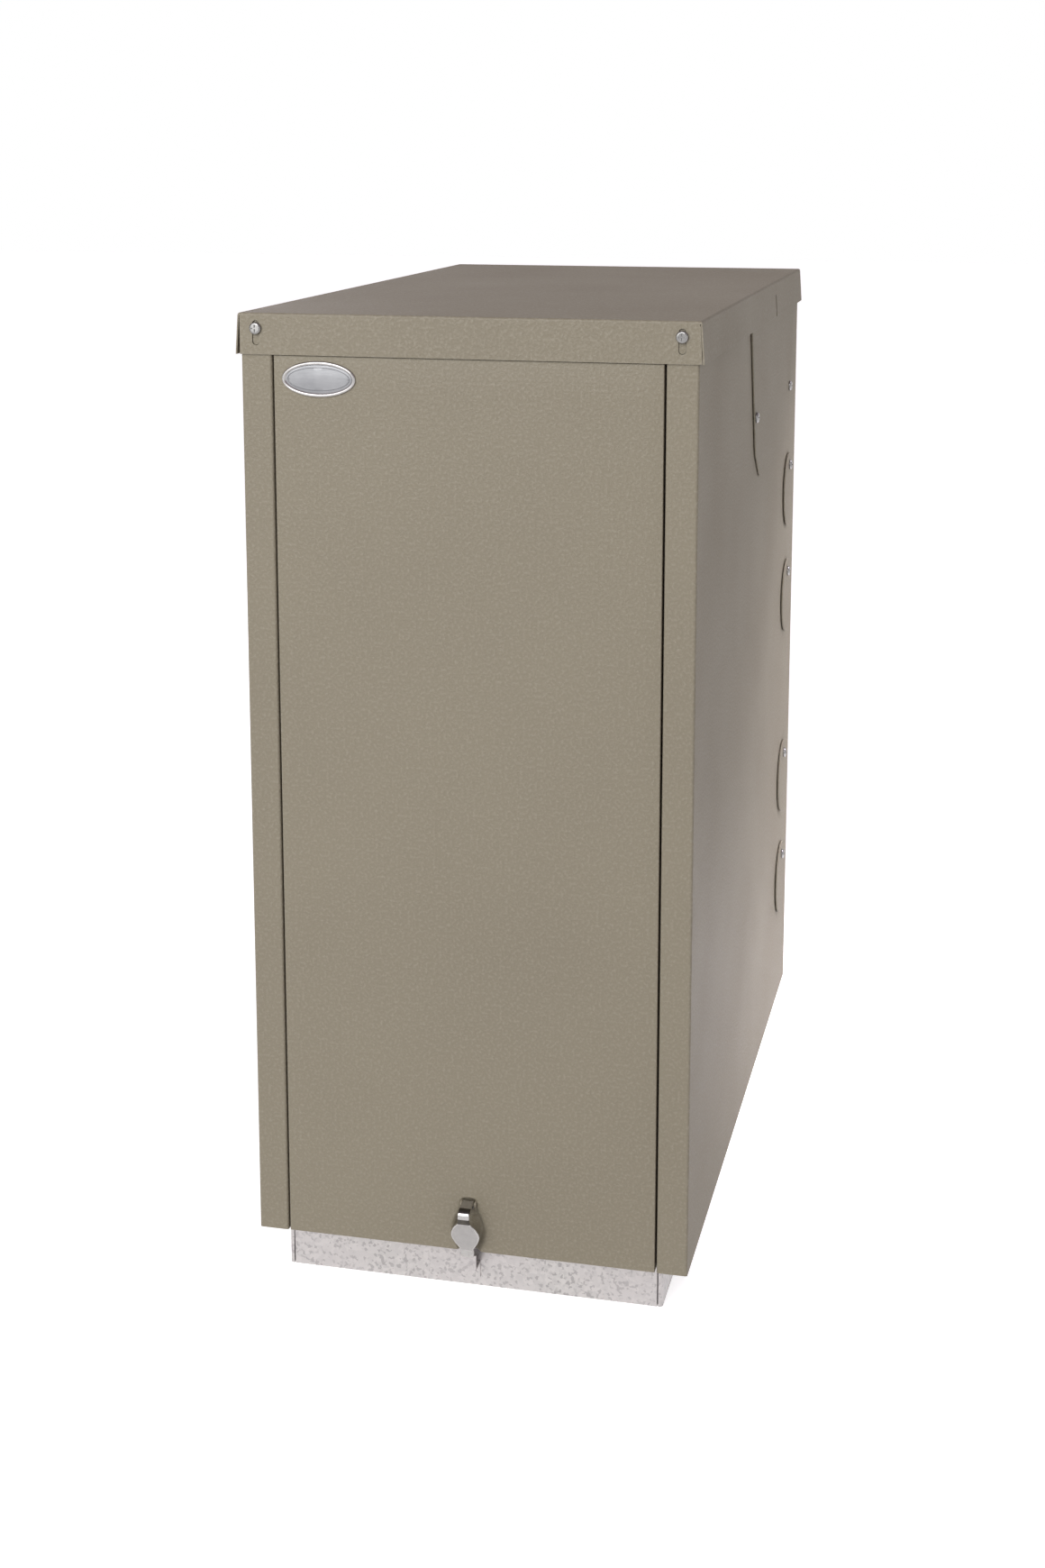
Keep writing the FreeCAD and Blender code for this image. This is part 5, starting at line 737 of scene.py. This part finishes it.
def makeFascia():
    f = fascia
    ticks, numbers = [], []
    steps = (f["numbers"] - 1) * f["minor"]
    for k in range(steps + 1):
        turn = f["turn"] * k / steps
        half = f["tickLong"] if k % f["minor"] == 0 else f["tickShort"]
        reach = f["tickIn"] + half
        x, z = f["knobX"] + reach * math.sin(math.radians(turn)), f["midZ"] + reach * math.cos(math.radians(turn))
        ticks.append(capsule(x, z, half, f["tickHalf"], turn))
    mesh = plateMesh(ticks, f["face"] - f["printed"], f["face"], f["tickEase"])
    addPiece("dialTicks", *mesh, "cabinet", [finishes["black_plastic"]], slot="black_plastic")
    for k in range(f["numbers"]):
        turn = math.radians(f["turn"] * k / (f["numbers"] - 1))
        verts, faces = letters(str(k), f["numberSize"], f["printed"])
        x, z = f["knobX"] + f["numberRadius"] * math.sin(turn), f["midZ"] + f["numberRadius"] * math.cos(turn)
        numbers.append(([(x + v.x, f["face"] - f["printed"] / 2 - v.z, z + v.y) for v in verts], faces))
    addPiece("dialNumbers", *joined(numbers), "cabinet", [finishes["black_plastic"]], slot="black_plastic")
    start, stop, half = f["pointer"]
    bar = capsule(f["knobX"], f["midZ"] + (start + stop) / 2, (stop - start) / 2, half)
    mesh = plateMesh([bar], f["knobFace"] + f["pointerSink"], f["knobFace"] + f["groove"], f["pointerEase"])
    addPiece("knobPointer", *mesh, "thermostat", [finishes["white_plastic"]], slot="white_plastic")
    marks = []
    slope = math.atan(f["rockerDip"] / f["rockerHalf"])
    for text, side in (("I", 1), ("O", -1)):
        verts, faces = letters(text, f["markSize"], f["printed"])
        rise = side * f["markRise"]
        y = f["rockerFront"] + f["rockerDip"] * (1 - f["markRise"] / f["rockerHalf"])
        up = Vector((0, -side * math.sin(slope), math.cos(slope)))
        out = Vector((0, -math.cos(slope), -side * math.sin(slope)))
        spot = Vector((f["switchX"], y, f["midZ"] + rise)) + out * f["printed"] / 2
        marks.append(([spot + Vector((v.x, 0, 0)) + up * v.y + out * v.z for v in verts], faces))
    addPiece("rockerMarks", *joined(marks), "switch", [finishes["white_plastic"]], slot="white_plastic")
    heads = [panHead(x, f["face"], z, f["screwRadius"], f["screwTall"]) for x, z in f["screws"]]
    addPiece("fasciaScrews", *joined(heads), "cabinet", [finishes["zinc_screw"]], slot="zinc_screw")


makeFascia()
print("fascia marked")

# jacket: foil-faced quilt wrapped round three sides of the block, taped along its edges
quilt = dict(
    step=0.006, thick=0.02, corner=0.009, cornerSteps=8, gap=0.0012, cellAlong=0.0865, cellUp=0.09, seamThick=0.011, puff=0.0088,
    pillowPower=0.45, tape=0.022, rimRoll=0.009, rimThin=0.45, wrinkle=0.0011, wrinkleScale=40, wrinkleRow=3.7,
)


def quiltLine(front, inX, inY):  # x, y and the outward direction, from the front left round the back to the front right
    bend, step = quilt["corner"], quilt["step"]
    sideRun = int((inY - bend - front) / step)
    turns = np.linspace(0, math.pi / 2, quilt["cornerSteps"] + 1)
    line = [(-inX, y, -1, 0) for y in np.linspace(front, inY - bend, sideRun)]
    for a in turns[1:]:
        line.append((-inX + bend * (1 - math.cos(a)), inY - bend + bend * math.sin(a), -math.cos(a), math.sin(a)))
    line += [(x, inY, 0, 1) for x in np.linspace(-inX + bend, inX - bend, int(2 * (inX - bend) / step))[1:]]
    for a in turns[::-1][1:]:
        line.append((inX - bend * (1 - math.cos(a)), inY - bend + bend * math.sin(a), math.cos(a), math.sin(a)))
    return line + [(inX, y, 1, 0) for y in np.linspace(inY - bend, front, sideRun)[1:]]


def makeQuilt():
    low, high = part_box("insulation_jacket")
    thick, tall = quilt["thick"], high.z - low.z
    line = quiltLine(low.y, high.x - thick, high.y - thick)
    along = [0.0]
    for a, b in zip(line, line[1:]):
        along.append(along[-1] + math.dist(a[:2], b[:2]))
    total = along[-1]
    heights = np.linspace(low.z, high.z, int(tall / quilt["step"]) + 1)
    cellsAlong, cellsUp = round(total / quilt["cellAlong"]), round(tall / quilt["cellUp"])
    wrinkleScale = quilt["wrinkleScale"]
    outer, inner = [], []
    for (x, y, nx, ny), s in zip(line, along):
        for z in heights:
            edge = min(s, total - s, z - low.z, high.z - z)
            wave = abs(math.sin(math.pi * s / total * cellsAlong)) * abs(math.sin(math.pi * (z - low.z) / tall * cellsUp))
            pillow = wave ** quilt["pillowPower"]
            hold = min(1, max(0, (edge - quilt["tape"] * 0.5) / quilt["tape"]))  # flat under the tape
            spot = Vector((s * wrinkleScale, z * wrinkleScale, quilt["wrinkleRow"]))
            crease = noise.fractal(spot, 1.0, 2.0, 4) * quilt["wrinkle"] * hold * (1.2 - pillow)
            roll = min(1, max(0, edge / quilt["rimRoll"]))
            rim = quilt["rimThin"] + (1 - quilt["rimThin"]) * math.sqrt(1 - (1 - roll) ** 2)
            lift = min((quilt["seamThick"] + quilt["puff"] * pillow * hold) * rim + crease, thick)
            outer.append((x + nx * lift, y + ny * lift, z))
            inner.append((x + nx * quilt["gap"], y + ny * quilt["gap"], z))
    count, columns, rows = len(outer), len(line), len(heights)
    skin = sheetFaces(columns, rows)
    lining = [tuple(count + v for v in reversed(face)) for face in skin]
    rimLoop = list(range(rows)) + [i * rows + rows - 1 for i in range(1, columns)]
    rimLoop += [(columns - 1) * rows + j for j in range(rows - 2, -1, -1)] + [i * rows for i in range(columns - 2, 0, -1)]
    band = [(a, b, count + b, count + a) for a, b in zip(rimLoop, rimLoop[1:] + rimLoop[:1])]
    faces = skin + lining + band
    piece = addPiece("foilQuilt", outer + inner, faces, "cabinet", [finishes["insulation_foil"]], ["insulation_jacket"], "insulation_foil", 80)
    return piece


makeQuilt()
print("jacket quilted")
